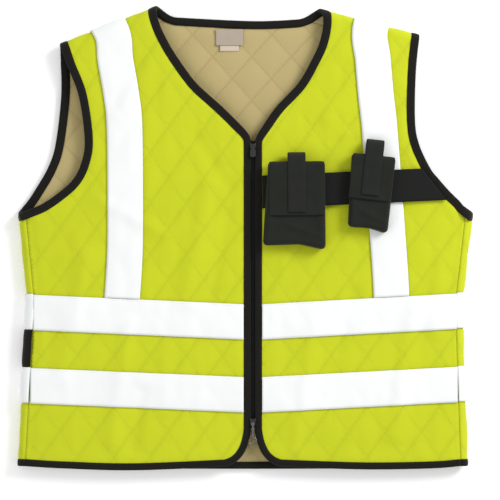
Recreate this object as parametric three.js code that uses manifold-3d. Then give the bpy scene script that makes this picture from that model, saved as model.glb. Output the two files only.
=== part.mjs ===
import * as THREE from 'three';
import { mergeVertices } from 'three/addons/utils/BufferGeometryUtils.js';
import Module from 'manifold-3d';

// An evaporative cooling vest lying flat on its back with the zip closed, in millimetres.
// X runs to the wearer's left, Y from the hem to the shoulders, Z up from the surface it lies on.

const wasm = await Module();
wasm.setup();

// Body
const BODY_LENGTH = 654;
const HALF_WIDTH = 324;
const ZIP_SHIFT = 10.5;
const FOLD_RADIUS = 8;
const FOLD_FACETS = 3;
const SEAM_INSET = 9;
const SEAM_ALLOWANCE = 2;
const GAP = 0.3;

// Quilted cloth
const SHELL = 1.2;
const SHELL_PUFF = 2.4;
const LINING = 1.6;
const DIAMOND_WIDTH = 51;
const DIAMOND_HEIGHT = 71.5;
const DIAMOND_START_X = 32;
const DIAMOND_START_Y = -19;

// Binding
const BINDING = 1.1;
const NECK_BINDING_WIDTH = 10;
const EDGE_BINDING_WIDTH = 8.5;
const CORNER_WIDTH = 40;
const CORNER_HEIGHT = 52;

// Zip
const ZIP_OPENING = 4.3;
const ZIP_TAPE = 0.8;
const ZIP_TAPE_WIDTH = 15;
const COIL_WIDTH = 4.4;
const COIL_HEIGHT = 2.4;
const SLIDER_LENGTH = 12;
const SLIDER_WIDTH = 9;
const SLIDER_PLATE = 2.4;
const PULL_LENGTH = 22;
const PULL_WIDTH = 3.6;
const PULL_THICKNESS = 1.6;
const RING_DIAMETER = 12;
const TOP_PULL_LENGTH = 14;
const TOP_PULL_WIDTH = 8;

// Reflective tape
const TAPE = 1.0;
const TAPE_WIDTH = 50;

// Chest band and pouches
const BAND = 1.6;
const BAND_RAMP = 26;
const STRAP = 1.4;
const STRAP_WIDTH = 25;
const STRAP_BEND = 7;
const INNER_STRAP_LOOP = 14;
const OUTER_STRAP_LOOP = 23;
const POUCH_WALL = 1.6;
const POUCH_CORNER = 7;
const POUCH_BEVEL = 3;
const INNER_POUCH_WIDTH = 80;
const INNER_POUCH_HEIGHT = 116;
const INNER_POUCH_DEPTH = 16;
const OUTER_POUCH_WIDTH = 62;
const OUTER_POUCH_HEIGHT = 102;
const OUTER_POUCH_DEPTH = 14;
const INNER_POUCH_FLARE = 8;
const OUTER_POUCH_FLARE = -5;
const INNER_POUCH_DROOP = 6;
const OUTER_POUCH_DROOP = 3;
const FLAP = 1.5;

// Labels
const LABEL = 0.6;

// Colours
const LIME = 0xcfd931;
const BEIGE = 0xb9a877;
const BLACK = 0x1c1e1a;
const CHARCOAL = 0x2c2e2b;
const SILVER = 0xf3f5f4;
const METAL = 0xb8bab8;
const LABEL_BROWN = 0x6d6355;
const LABEL_CREAM = 0xcab9a4;

// Fineness of curves and of the solids' own arithmetic
const ARMHOLE_STEPS = 9;
const BACK_ARMHOLE_STEPS = 8;
const NECK_STEPS = 8;
const EDGE_STEPS = 4;
const WELD = 1e-4;
const ON_LINE = 0.01;
const STRAIGHT_TURN = 0.12;
const CUT_PAST = 1;

// Levels through the cloth, measured outwards from the plane between shell and lining
const SHELL_TOP = SHELL + SHELL_PUFF;
const LINING_LOW = -(GAP + LINING);
const TAPE_LOW = SHELL_TOP + GAP;
const TAPE_TOP = TAPE_LOW + TAPE;
const BINDING_TOP = SHELL + GAP + BINDING;
const BINDING_LOW = LINING_LOW - GAP - BINDING;
const ZIP_TAPE_TOP = BINDING_LOW - GAP;
const STRAP_LOW = TAPE_TOP + GAP;
const BAND_LOW = STRAP_LOW + STRAP + GAP;
const POUCH_LOW = BAND_LOW + BAND + GAP;
const BACK_Z = TAPE_TOP;
const MIDDLE_Z = BACK_Z + FOLD_RADIUS;
const FRONT_Z = MIDDLE_Z + FOLD_RADIUS;
const HALF_TURN = Math.PI * FOLD_RADIUS;

// Table rows give a height as a share of BODY_LENGTH and a place as a share of that side's half width
const rows = (...pairs) => pairs.map(([high, out]) => ({ high, out }));

// Half widths of the folded body, the same heights on both sides
const SIDE_HEIGHTS = [0.011, 0.36, 0.553];

const SIDES = [
  {
    name: 'right',
    sign: -1,
    half: HALF_WIDTH + ZIP_SHIFT,
    sideOut: [0.998, 0.958, 0.995],
    shoulder: rows([0.923, 0.814], [1.003, 0.413]),
    neck: rows([0.966, 0.401], [0.923, 0.363], [0.884, 0.316], [0.832, 0.24], [0.781, 0.131], [0.731, 0.034]),
    frontArmhole: rows(
      [0.572, 0.885],
      [0.599, 0.809],
      [0.625, 0.755],
      [0.66, 0.72],
      [0.712, 0.704],
      [0.806, 0.729],
      [0.873, 0.778],
    ),
    backArmhole: rows([0.572, 0.96], [0.599, 0.923], [0.651, 0.864], [0.703, 0.831], [0.806, 0.807]),
    rearArm: { high: 0.884, out: 0.809 },
    rearNeck: { high: 0.977, out: 0.348 },
    hem: rows([0.01, 0.169], [0.002, 0.5], [0.006, 0.8]),
    tape: rows([0.949, 0.599], [0.884, 0.579], [0.806, 0.553], [0.729, 0.54], [0.496, 0.538], [0.373, 0.55]),
    bands: { upper: { side: 0.38, zip: 0.358 }, lower: { side: 0.222, zip: 0.201 } },
  },
  {
    name: 'left',
    sign: 1,
    half: HALF_WIDTH - ZIP_SHIFT,
    sideOut: [0.974, 0.95, 0.996],
    shoulder: rows([0.942, 0.747], [0.997, 0.31]),
    neck: rows([0.966, 0.322], [0.923, 0.306], [0.884, 0.27], [0.832, 0.207], [0.781, 0.108], [0.731, 0.036]),
    frontArmhole: rows(
      [0.576, 0.93],
      [0.599, 0.882],
      [0.625, 0.834],
      [0.651, 0.792],
      [0.703, 0.742],
      [0.755, 0.724],
      [0.86, 0.728],
    ),
    backArmhole: rows([0.576, 0.928], [0.599, 0.874], [0.651, 0.783], [0.703, 0.733], [0.819, 0.711]),
    rearArm: { high: 0.906, out: 0.724 },
    rearNeck: { high: 0.973, out: 0.232 },
    hem: rows([0.01, 0.169], [0.004, 0.5], [0.006, 0.8]),
    tape: rows([0.957, 0.529], [0.884, 0.539], [0.806, 0.553], [0.729, 0.57], [0.47, 0.611], [0.373, 0.623]),
    bands: { upper: { side: 0.383, zip: 0.358 }, lower: { side: 0.225, zip: 0.201 } },
  },
];
const FRONT_RUNS = ['zip', 'corner', 'hem', 'seam', 'armhole', 'rear', 'neck'];
const APEX_HIGH = 0.712;
const ARMPIT_HIGH = 0.553;
const SEAM_TOP_HIGH = 0.557;
const CORNER_SWELL = 6;
const BACK_HEM_MIDDLE_OUT = 0.5;
const BACK_NECK_HIGH = 0.968;
const BACK_HEM_HIGH = 0.004;
const SLIDER_HIGH = { bottom: 0.104, top: 0.696 };

// Chest band on the wearer's left: its top and bottom edges, from the zip to the armhole
const BAND_TOP = rows([0.635, 0.042], [0.65, 0.758]);
const BAND_BOTTOM = rows([0.564, 0.042], [0.582, 0.87]);

// Pouches on the chest band: middle of the body, size, how far its lower left corner stands out and
// its lower right corner hangs, tilt, how far the flap and strap come down, and how far the strap's
// loop stands above the mouth
const POUCHES = [
  {
    name: 'inner',
    high: 0.5735,
    out: 0.197,
    width: INNER_POUCH_WIDTH,
    height: INNER_POUCH_HEIGHT,
    depth: INNER_POUCH_DEPTH,
    flare: INNER_POUCH_FLARE,
    droop: INNER_POUCH_DROOP,
    tilt: 0.01,
    flap: 0.64,
    strap: 0.6,
    loop: INNER_STRAP_LOOP,
  },
  {
    name: 'outer',
    high: 0.598,
    out: 0.524,
    width: OUTER_POUCH_WIDTH,
    height: OUTER_POUCH_HEIGHT,
    depth: OUTER_POUCH_DEPTH,
    flare: OUTER_POUCH_FLARE,
    droop: OUTER_POUCH_DROOP,
    tilt: -0.11,
    flap: 0.6,
    strap: 0.54,
    loop: OUTER_STRAP_LOOP,
  },
];

// Back-neck labels: the middle of each, from the zip line; level 1 lies over level 0
const LABELS = [
  { name: 'neck_label', high: 0.9345, out: 0.093, width: 36, height: 23, level: 1, color: LABEL_BROWN },
  { name: 'size_label', high: 0.9214, out: 0.093, width: 25, height: 22, level: 0, color: LABEL_CREAM },
];

const vec = (x, y) => new THREE.Vector2(x, y);
const lift = (point) => new THREE.Vector3(point.x, point.y, 0);
const spot = (side, row) => vec(side.sign * row.out * side.half, row.high * BODY_LENGTH);
const smooth = (points, steps) => new THREE.SplineCurve(points).getPoints(steps);

// Half width of the body at one height, at the plane between shell and lining
function bodyHalfWidth(side, y) {
  const high = y / BODY_LENGTH;
  const next = high > SIDE_HEIGHTS[1] ? 2 : 1;
  const share = (high - SIDE_HEIGHTS[next - 1]) / (SIDE_HEIGHTS[next] - SIDE_HEIGHTS[next - 1]);
  const out = THREE.MathUtils.lerp(side.sideOut[next - 1], side.sideOut[next], share);
  return out * side.half - SHELL_TOP;
}

const backFlatHalf = (side) => side.half - SHELL_TOP - FOLD_RADIUS;
const backEdgeHalf = (side) => backFlatHalf(side) + HALF_TURN + SEAM_INSET - FOLD_RADIUS - GAP;

// A fold's half turn in flat facets: how far a point has gone sideways and how far round
function turnFold(travel, level) {
  const step = Math.min(FOLD_FACETS - 1, Math.floor((travel / HALF_TURN) * FOLD_FACETS));
  const share = (travel / HALF_TURN) * FOLD_FACETS - step;
  const angles = [step, step + 1].map((facet) => (facet * Math.PI) / FOLD_FACETS);
  const [reach0, reach1] = angles.map((angle) => Math.sin(angle));
  const [rise0, rise1] = angles.map((angle) => -Math.cos(angle));
  const radius = FOLD_RADIUS + level;
  return {
    reach: radius * THREE.MathUtils.lerp(reach0, reach1, share),
    rise: radius * THREE.MathUtils.lerp(rise0, rise1, share),
  };
}

// The rule that lays a front: flat, then over the shoulder fold to the back
function makeFrontSheet(side) {
  const [armEnd, neckEnd] = side.shoulder.map((row) => spot(side, row));
  const along = neckEnd.clone().sub(armEnd).normalize();
  const up = vec(side.sign * along.y, -side.sign * along.x);
  const rolled = (point) => point.clone().sub(armEnd).dot(up) + SHELL_TOP + FOLD_RADIUS;
  const place = (x, y, level) => {
    const point = vec(x, y);
    const travel = rolled(point);
    if (travel <= 0) return new THREE.Vector3(x, y, FRONT_Z + level);
    const foot = point.addScaledVector(up, -travel);
    if (travel >= HALF_TURN) {
      foot.addScaledVector(up, HALF_TURN - travel);
      return new THREE.Vector3(foot.x, foot.y, BACK_Z - level);
    }
    const fold = turnFold(travel, level);
    foot.addScaledVector(up, fold.reach);
    return new THREE.Vector3(foot.x, foot.y, MIDDLE_Z - fold.rise);
  };
  const unfold = (point) => {
    const below = -rolled(point);
    return point.clone().addScaledVector(up, 2 * below + HALF_TURN);
  };
  const lines = [];
  for (let step = 0; step <= FOLD_FACETS; step += 1) {
    const reach = (step / FOLD_FACETS) * HALF_TURN - SHELL_TOP - FOLD_RADIUS;
    lines.push({ normal: up, offset: armEnd.dot(up) + reach });
  }
  return { place, unfold, lines, mirrored: false };
}

// The rule that lays the back: flat, then round both side folds to the front
function makeBackSheet() {
  const sideAt = (across) => (across < 0 ? SIDES[0] : SIDES[1]);
  const place = (across, y, level) => {
    const side = sideAt(across);
    const flat = backFlatHalf(side);
    const start = bodyHalfWidth(side, y) - FOLD_RADIUS;
    const travel = Math.abs(across) - flat;
    if (travel <= 0) return new THREE.Vector3((across * start) / flat, y, BACK_Z - level);
    if (travel >= HALF_TURN) {
      return new THREE.Vector3(side.sign * (start + HALF_TURN - travel), y, FRONT_Z + level);
    }
    const fold = turnFold(travel, level);
    return new THREE.Vector3(side.sign * (start + fold.reach), y, MIDDLE_Z + fold.rise);
  };
  const unfold = (point) => {
    const side = sideAt(point.x);
    const flat = backFlatHalf(side);
    const start = bodyHalfWidth(side, point.y) - FOLD_RADIUS;
    const past = Math.abs(point.x) - start;
    if (past <= 0) return vec((point.x * flat) / start, point.y);
    return vec(side.sign * (flat + FOLD_RADIUS * Math.asin(Math.min(1, past / FOLD_RADIUS))), point.y);
  };
  const lines = [];
  for (const side of SIDES) {
    for (let step = 0; step <= FOLD_FACETS; step += 1) {
      const reach = backFlatHalf(side) + (step / FOLD_FACETS) * HALF_TURN;
      lines.push({ normal: vec(1, 0), offset: side.sign * reach });
    }
  }
  lines.push({ normal: vec(0, 1), offset: SIDE_HEIGHTS[1] * BODY_LENGTH });
  return { place, unfold, lines, mirrored: true };
}

// Solids in and out of the boolean library
function toSolid(geometry) {
  const bare = geometry.clone();
  bare.deleteAttribute('normal');
  bare.deleteAttribute('uv');
  const merged = mergeVertices(bare, WELD);
  const vertProperties = new Float32Array(merged.attributes.position.array);
  const triVerts = new Uint32Array(merged.index.array);
  return new wasm.Manifold(new wasm.Mesh({ numProp: 3, vertProperties, triVerts }));
}

function toGeometry(solid) {
  const mesh = solid.getMesh();
  const geometry = new THREE.BufferGeometry();
  geometry.setAttribute('position', new THREE.BufferAttribute(new Float32Array(mesh.vertProperties), 3));
  geometry.setIndex(Array.from(mesh.triVerts));
  return geometry;
}

function prism(points, low, high) {
  const options = { depth: high - low, bevelEnabled: false };
  return toSolid(new THREE.ExtrudeGeometry(new THREE.Shape(points), options).translate(0, 0, low));
}

// Cuts every triangle along straight lines of the flat cloth, so that it can bend there
function score(geometry, lines) {
  const points = Array.from(geometry.attributes.position.array);
  let triangles = [];
  for (let i = 0; i < geometry.index.count; i += 3) {
    triangles.push([0, 1, 2].map((corner) => geometry.index.getX(i + corner)));
  }
  for (const { normal, offset } of lines) {
    const made = new Map();
    const height = (i) => points[3 * i] * normal.x + points[3 * i + 1] * normal.y - offset;
    const sideOf = (i) => (Math.abs(height(i)) < ON_LINE ? 0 : Math.sign(height(i)));
    const cutEdge = (a, b) => {
      const key = a < b ? `${a}_${b}` : `${b}_${a}`;
      if (!made.has(key)) {
        const [from, to] = a < b ? [a, b] : [b, a];
        const share = height(from) / (height(from) - height(to));
        made.set(key, points.length / 3);
        for (let k = 0; k < 3; k += 1) {
          points.push(THREE.MathUtils.lerp(points[3 * from + k], points[3 * to + k], share));
        }
      }
      return made.get(key);
    };
    triangles = triangles.flatMap((triangle) => {
      const sides = triangle.map(sideOf);
      if (!sides.includes(1) || !sides.includes(-1)) return [triangle];
      const isLone = (value, k) => !sides.some((other, m) => m !== k && other === value);
      const turn = sides.includes(0) ? sides.indexOf(0) : sides.findIndex(isLone);
      const [a, b, c] = [0, 1, 2].map((k) => triangle[(turn + k) % 3]);
      if (sides.includes(0)) {
        const middle = cutEdge(b, c);
        return [[a, b, middle], [a, middle, c]];
      }
      const first = cutEdge(a, b);
      const second = cutEdge(c, a);
      return [[a, first, second], [first, b, c], [first, c, second]];
    });
  }
  return { points, triangles };
}

function lay(flat, sheet) {
  const { points, triangles } = score(flat.isBufferGeometry ? flat : toGeometry(flat), sheet.lines);
  const positions = [];
  for (let i = 0; i < points.length; i += 3) {
    positions.push(...sheet.place(points[i], points[i + 1], points[i + 2]).toArray());
  }
  const geometry = new THREE.BufferGeometry();
  geometry.setAttribute('position', new THREE.Float32BufferAttribute(positions, 3));
  geometry.setIndex(triangles.flatMap(([a, b, c]) => (sheet.mirrored ? [a, c, b] : [a, b, c])));
  return geometry;
}

// Moves a run of points sideways, mitred; positive is to the left of its direction
function shift(points, amounts, closed) {
  const count = points.length;
  const edge = (i) => {
    const from = points[(i + count) % count];
    const to = points[(i + 1 + count) % count];
    const along = to.clone().sub(from).normalize();
    return vec(-along.y, along.x);
  };
  return points.map((point, i) => {
    const before = closed || i > 0 ? i - 1 : i;
    const after = closed || i < count - 1 ? i : i - 1;
    const [n0, n1] = [edge(before), edge(after)];
    const [d0, d1] = [amounts[(before + count) % count], amounts[after]];
    const turn = n0.cross(n1);
    if (Math.abs(turn) < STRAIGHT_TURN) {
      const mean = n0.clone().add(n1).normalize();
      return point.clone().addScaledVector(mean, (d0 + d1) / 2);
    }
    const x = (d0 * n1.y - d1 * n0.y) / turn;
    const y = (d1 * n0.x - d0 * n1.x) / turn;
    return vec(point.x + x, point.y + y);
  });
}

const shiftEvenly = (points, amount) => shift(points, points.map(() => amount), false);

// A closed outline made of named runs, and the same outline drawn in by each run's own inset
function drawOutline(runs, leftInside) {
  const outer = runs.flatMap((run) => run.points.slice(0, -1));
  const insets = runs.flatMap((run) => run.points.slice(0, -1).map(() => leftInside * run.inset));
  return { outer, inner: shift(outer, insets, true) };
}

// Quilted cloth: a thin sheet to the edge, with a low pyramid in every diamond inside the bindings
function quilt(outline) {
  const box = new THREE.Box2().setFromPoints(outline.inner);
  const [stepX, stepY] = [DIAMOND_WIDTH / 2, DIAMOND_HEIGHT / 2];
  const start = vec(DIAMOND_START_X, DIAMOND_START_Y);
  const [low, high] = [box.min.clone().sub(start), box.max.clone().sub(start)];
  const [firstX, lastX] = [Math.floor(low.x / stepX) - 1, Math.ceil(high.x / stepX) + 1];
  const [firstY, lastY] = [Math.floor(low.y / stepY) - 1, Math.ceil(high.y / stepY) + 1];
  const [countX, countY] = [lastX - firstX + 1, lastY - firstY + 1];
  const raised = (i, j) => (i + j + firstX + firstY) % 2 !== 0;
  const positions = [];
  for (const layer of [0, 1]) {
    for (let j = 0; j < countY; j += 1) {
      for (let i = 0; i < countX; i += 1) {
        const top = raised(i, j) ? SHELL_TOP : SHELL;
        positions.push(start.x + (i + firstX) * stepX, start.y + (j + firstY) * stepY, layer ? top : 0);
      }
    }
  }
  const at = (layer, i, j) => layer * countX * countY + j * countX + i;
  const index = [];
  const quad = (a, b, c, d) => index.push(a, b, c, a, c, d);
  for (let j = 0; j < countY - 1; j += 1) {
    for (let i = 0; i < countX - 1; i += 1) {
      for (const layer of [0, 1]) {
        const ring = [at(layer, i, j), at(layer, i + 1, j), at(layer, i + 1, j + 1), at(layer, i, j + 1)];
        if (raised(i, j)) ring.push(ring.shift());
        quad(...(layer ? ring : ring.reverse()));
      }
    }
  }
  for (let i = 0; i < countX - 1; i += 1) {
    quad(at(0, i, 0), at(0, i + 1, 0), at(1, i + 1, 0), at(1, i, 0));
    quad(at(0, i + 1, countY - 1), at(0, i, countY - 1), at(1, i, countY - 1), at(1, i + 1, countY - 1));
  }
  for (let j = 0; j < countY - 1; j += 1) {
    quad(at(0, 0, j + 1), at(0, 0, j), at(1, 0, j), at(1, 0, j + 1));
    quad(at(0, countX - 1, j), at(0, countX - 1, j + 1), at(1, countX - 1, j + 1), at(1, countX - 1, j));
  }
  const geometry = new THREE.BufferGeometry();
  geometry.setAttribute('position', new THREE.Float32BufferAttribute(positions, 3));
  geometry.setIndex(index);
  const padding = toSolid(geometry).intersect(prism(outline.inner, -CUT_PAST, SHELL_TOP + CUT_PAST));
  return sewDown(toGeometry(padding.add(prism(outline.outer, 0, SHELL))), outline.inner);
}

// Brings the rim of the padding down to the thin sheet, where the binding's stitches hold it
function sewDown(geometry, rim) {
  const segments = rim.map((point, i) => new THREE.Line3(lift(point), lift(rim[(i + 1) % rim.length])));
  const position = geometry.attributes.position;
  for (let i = 0; i < position.count; i += 1) {
    if (position.getZ(i) < SHELL) continue;
    const point = new THREE.Vector3(position.getX(i), position.getY(i), 0);
    const reach = (line) => line.closestPointToPoint(point, true, new THREE.Vector3()).distanceTo(point);
    if (segments.some((line) => reach(line) < 2 * ON_LINE)) position.setZ(i, SHELL);
  }
  const merged = mergeVertices(geometry, 10 * WELD);
  const index = [];
  for (let i = 0; i < merged.index.count; i += 3) {
    const corners = [0, 1, 2].map((k) => merged.index.getX(i + k));
    if (new Set(corners).size === 3) index.push(...corners);
  }
  merged.setIndex(index);
  return merged;
}

// Adds a short straight piece to an end of a path, so that joined strips overlap
function extendEnd(path, amount) {
  const [last, previous] = [path.at(-1), path.at(-2)];
  return [...path, last.clone().add(last.clone().sub(previous).setLength(amount))];
}
const extendStart = (path, amount) => extendEnd([...path].reverse(), amount).reverse();

// Binding folded round a raw edge: two legs and the turn that joins them
function bind(path, width, leftInside) {
  const strip = (outward, inward) => [
    ...shiftEvenly(path, -leftInside * outward),
    ...shiftEvenly(path, leftInside * inward).reverse(),
  ];
  const whole = prism(strip(2 * GAP + BINDING, width), BINDING_LOW, BINDING_TOP);
  const slotRun = extendStart(extendEnd(path, CUT_PAST), CUT_PAST);
  const slotStrip = [
    ...shiftEvenly(slotRun, -leftInside * 2 * GAP),
    ...shiftEvenly(slotRun, leftInside * (width + CUT_PAST)).reverse(),
  ];
  return whole.subtract(prism(slotStrip, BINDING_LOW + BINDING, BINDING_TOP - BINDING));
}

const vest = new THREE.Group();
function addPiece(name, geometry, color, roughness = 0.9, metalness = 0) {
  const material = new THREE.MeshStandardMaterial({ color, roughness, metalness });
  const piece = new THREE.Mesh(geometry, material);
  piece.name = name;
  vest.add(piece);
  return piece;
}

// Runs of each front's outline, in order: zip edge, lower corner, hem, side seam, armhole, seam, neck
function frontRuns(side, sheet) {
  const zipX = side.sign * ZIP_OPENING;
  const apex = vec(zipX, APEX_HIGH * BODY_LENGTH);
  const hemPoints = side.hem.map((row) => spot(side, row));
  const cornerEnd = vec(side.sign * CORNER_WIDTH, hemPoints[0].y);
  const cornerTop = vec(zipX, cornerEnd.y + CORNER_HEIGHT);
  const cornerPull = vec(2 * zipX, cornerEnd.y + CORNER_SWELL);
  const corner = new THREE.QuadraticBezierCurve(cornerTop, cornerPull, cornerEnd);
  const seamX = (y) => side.sign * (bodyHalfWidth(side, y) - SEAM_INSET);
  const seamAt = (y) => vec(seamX(y), y);
  const seam = SIDE_HEIGHTS.slice(0, -1).map((high) => seamAt(high * BODY_LENGTH));
  const armpit = seamAt(SEAM_TOP_HIGH * BODY_LENGTH);
  const rearArm = sheet.unfold(spot(side, side.rearArm));
  const rearNeck = sheet.unfold(spot(side, side.rearNeck));
  const [armEnd, neckEnd] = side.shoulder.map((row) => spot(side, row));
  const armPoints = side.frontArmhole.map((row) => spot(side, row));
  const neckPoints = side.neck.map((row) => spot(side, row));
  const armhole = smooth([armpit, ...armPoints, armEnd, rearArm], ARMHOLE_STEPS);
  const neck = smooth([rearNeck, neckEnd, ...neckPoints, apex], NECK_STEPS);
  const edgeInset = EDGE_BINDING_WIDTH + BINDING;
  return {
    zip: { points: [apex, cornerTop], inset: edgeInset },
    corner: { points: corner.getPoints(EDGE_STEPS), inset: edgeInset },
    hem: { points: smooth([cornerEnd, ...hemPoints.slice(1), seam[0]], EDGE_STEPS), inset: edgeInset },
    seam: { points: [...seam, armpit], inset: SEAM_ALLOWANCE },
    armhole: { points: armhole, inset: NECK_BINDING_WIDTH + BINDING },
    rear: { points: [rearArm, rearNeck], inset: SEAM_ALLOWANCE },
    neck: { points: neck, inset: NECK_BINDING_WIDTH + BINDING },
  };
}

// Runs of the back's outline on one side, from the hem up to the neck
function backRuns(side, sheet) {
  const edgeX = side.sign * backEdgeHalf(side);
  const low = vec(edgeX, SIDE_HEIGHTS[0] * BODY_LENGTH);
  const high = vec(edgeX, SEAM_TOP_HIGH * BODY_LENGTH);
  const foldX = side.sign * (backFlatHalf(side) + HALF_TURN / 2);
  const fold = vec(foldX, ARMPIT_HIGH * BODY_LENGTH);
  const below = vec(0, -GAP);
  const rearArm = sheet.unfold(spot(side, side.rearArm).add(below));
  const rearNeck = sheet.unfold(spot(side, side.rearNeck).add(below));
  const middle = side.backArmhole.map((row) => sheet.unfold(spot(side, row)));
  return {
    seam: [low, high],
    armhole: smooth([high, fold, ...middle, rearArm], BACK_ARMHOLE_STEPS),
    rear: [rearArm, rearNeck],
    rearNeck,
  };
}

const backSheet = makeBackSheet();
const fronts = SIDES.map((side) => {
  const sheet = makeFrontSheet(side);
  return { side, sheet, runs: frontRuns(side, sheet), back: backRuns(side, backSheet) };
});

// Back: hem, left seam, left armhole, left shoulder, neck, then down the right side
const [rightFront, leftFront] = fronts;
const hemMiddle = (side) => spot(side, { high: BACK_HEM_HIGH, out: BACK_HEM_MIDDLE_OUT });
const backHem = smooth(
  [rightFront.back.seam[0], hemMiddle(SIDES[0]), hemMiddle(SIDES[1]), leftFront.back.seam[0]],
  EDGE_STEPS,
);
const backNeck = smooth(
  [leftFront.back.rearNeck, vec(0, BACK_NECK_HIGH * BODY_LENGTH), rightFront.back.rearNeck],
  EDGE_STEPS,
);
const backOutline = drawOutline(
  [
    { points: backHem, inset: EDGE_BINDING_WIDTH + BINDING },
    { points: leftFront.back.seam, inset: SEAM_ALLOWANCE },
    { points: leftFront.back.armhole, inset: NECK_BINDING_WIDTH + BINDING },
    { points: leftFront.back.rear, inset: SEAM_ALLOWANCE },
    { points: backNeck, inset: NECK_BINDING_WIDTH + BINDING },
    { points: [...rightFront.back.rear].reverse(), inset: SEAM_ALLOWANCE },
    { points: [...rightFront.back.armhole].reverse(), inset: NECK_BINDING_WIDTH + BINDING },
    { points: [...rightFront.back.seam].reverse(), inset: SEAM_ALLOWANCE },
  ],
  1,
);
const lining = (outline) => prism(outline.outer, LINING_LOW, -GAP);
addPiece('back_shell', lay(quilt(backOutline), backSheet), LIME);
addPiece('back_lining', lay(lining(backOutline), backSheet), BEIGE);

for (const front of fronts) {
  front.outline = drawOutline(FRONT_RUNS.map((name) => front.runs[name]), front.side.sign);
  addPiece(`front_shell_${front.side.name}`, lay(quilt(front.outline), front.sheet), LIME);
  addPiece(`front_lining_${front.side.name}`, lay(lining(front.outline), front.sheet), BEIGE);
}

// Bindings
const joinSolids = (parts) => toGeometry(parts.map(toSolid).reduce((whole, part) => whole.add(part)));
const LAP = 1.4 * GAP;
const lap = (path) => extendStart(extendEnd(path, LAP), LAP);
for (const { side, sheet, runs, back } of fronts) {
  const { sign, name } = side;
  const armhole = joinSolids([
    lay(bind(lap(runs.armhole.points), NECK_BINDING_WIDTH, sign), sheet),
    lay(bind(back.armhole, NECK_BINDING_WIDTH, sign), backSheet),
  ]);
  addPiece(`armhole_binding_${name}`, armhole, BLACK);
  const edge = [...runs.zip.points.slice(0, -1), ...runs.corner.points.slice(0, -1), ...runs.hem.points];
  const neckPath = extendEnd(runs.neck.points, NECK_BINDING_WIDTH);
  const neckStrip = [
    ...shiftEvenly(neckPath, -sign * (BINDING + 3 * GAP)),
    ...shiftEvenly(neckPath, sign * (NECK_BINDING_WIDTH + GAP)).reverse(),
  ];
  const neckRoom = prism(neckStrip, BINDING_LOW - CUT_PAST, BINDING_TOP + CUT_PAST);
  const edgeStrip = bind(edge, EDGE_BINDING_WIDTH, sign).subtract(neckRoom);
  addPiece(`edge_binding_${name}`, lay(edgeStrip, sheet), BLACK);
}
const neckParts = fronts.map(({ side, sheet, runs }) =>
  lay(bind(extendStart(runs.neck.points, LAP), NECK_BINDING_WIDTH, side.sign), sheet),
);
neckParts.push(lay(bind(backNeck, NECK_BINDING_WIDTH, 1), backSheet));
addPiece('neck_binding', joinSolids(neckParts), BLACK);
addPiece('hem_binding_back', lay(bind(backHem, EDGE_BINDING_WIDTH, 1), backSheet), BLACK);

// Zip: two tapes behind the bindings, the closed coil between them, a slider at each end
const zipTop = APEX_HIGH * BODY_LENGTH;
const zipBottom = rightFront.runs.corner.points[0].y;
const slab = (left, right, low, high, from, to) => {
  const box = new THREE.BoxGeometry(right - left, high - low, to - from);
  return box.translate((left + right) / 2, (low + high) / 2, (from + to) / 2);
};
for (const { name, sign } of SIDES) {
  const [inner, outer] = [sign * (GAP / 2), sign * ZIP_TAPE_WIDTH].sort((a, b) => a - b);
  const levels = [FRONT_Z + ZIP_TAPE_TOP - ZIP_TAPE, FRONT_Z + ZIP_TAPE_TOP];
  addPiece(`zip_tape_${name}`, slab(inner, outer, zipBottom, zipTop - BINDING, ...levels), BLACK);
}
const coilLow = FRONT_Z + ZIP_TAPE_TOP + GAP;
const coilTop = coilLow + COIL_HEIGHT;
const halfCoil = COIL_WIDTH / 2;
addPiece('zip_coil', slab(-halfCoil, halfCoil, zipBottom, zipTop - BINDING, coilLow, coilTop), BLACK, 0.5);
const plateLow = FRONT_Z + BINDING_TOP + GAP;
const plateTop = plateLow + SLIDER_PLATE;
for (const [end, high] of Object.entries(SLIDER_HIGH)) {
  const middle = high * BODY_LENGTH;
  const span = [middle - SLIDER_LENGTH / 2, middle + SLIDER_LENGTH / 2];
  const plate = slab(-SLIDER_WIDTH / 2, SLIDER_WIDTH / 2, ...span, plateLow, plateTop);
  const stem = slab(-halfCoil, halfCoil, ...span, coilTop + GAP, plateLow + SLIDER_PLATE / 2);
  addPiece(`zip_slider_${end}`, joinSolids([plate, stem]), METAL, 0.35, 1);
}
const tabShape = (width, length) => slab(-width / 2, width / 2, -length, 0, 0, PULL_THICKNESS);
const ring = new THREE.TorusGeometry((RING_DIAMETER - PULL_THICKNESS) / 2, PULL_THICKNESS / 2, 6, 14);
ring.translate(0, -PULL_LENGTH - RING_DIAMETER / 2 + PULL_THICKNESS, PULL_THICKNESS / 2);
const ringed = joinSolids([tabShape(PULL_WIDTH, PULL_LENGTH), ring]);
const pull = addPiece('zip_pull_bottom', ringed, METAL, 0.35, 1);
pull.position.set(0, SLIDER_HIGH.bottom * BODY_LENGTH, plateTop + GAP);
const topPull = addPiece('zip_pull_top', tabShape(TOP_PULL_WIDTH, TOP_PULL_LENGTH), BLACK, 0.5);
topPull.position.set(0, SLIDER_HIGH.top * BODY_LENGTH, plateTop + GAP);

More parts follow.
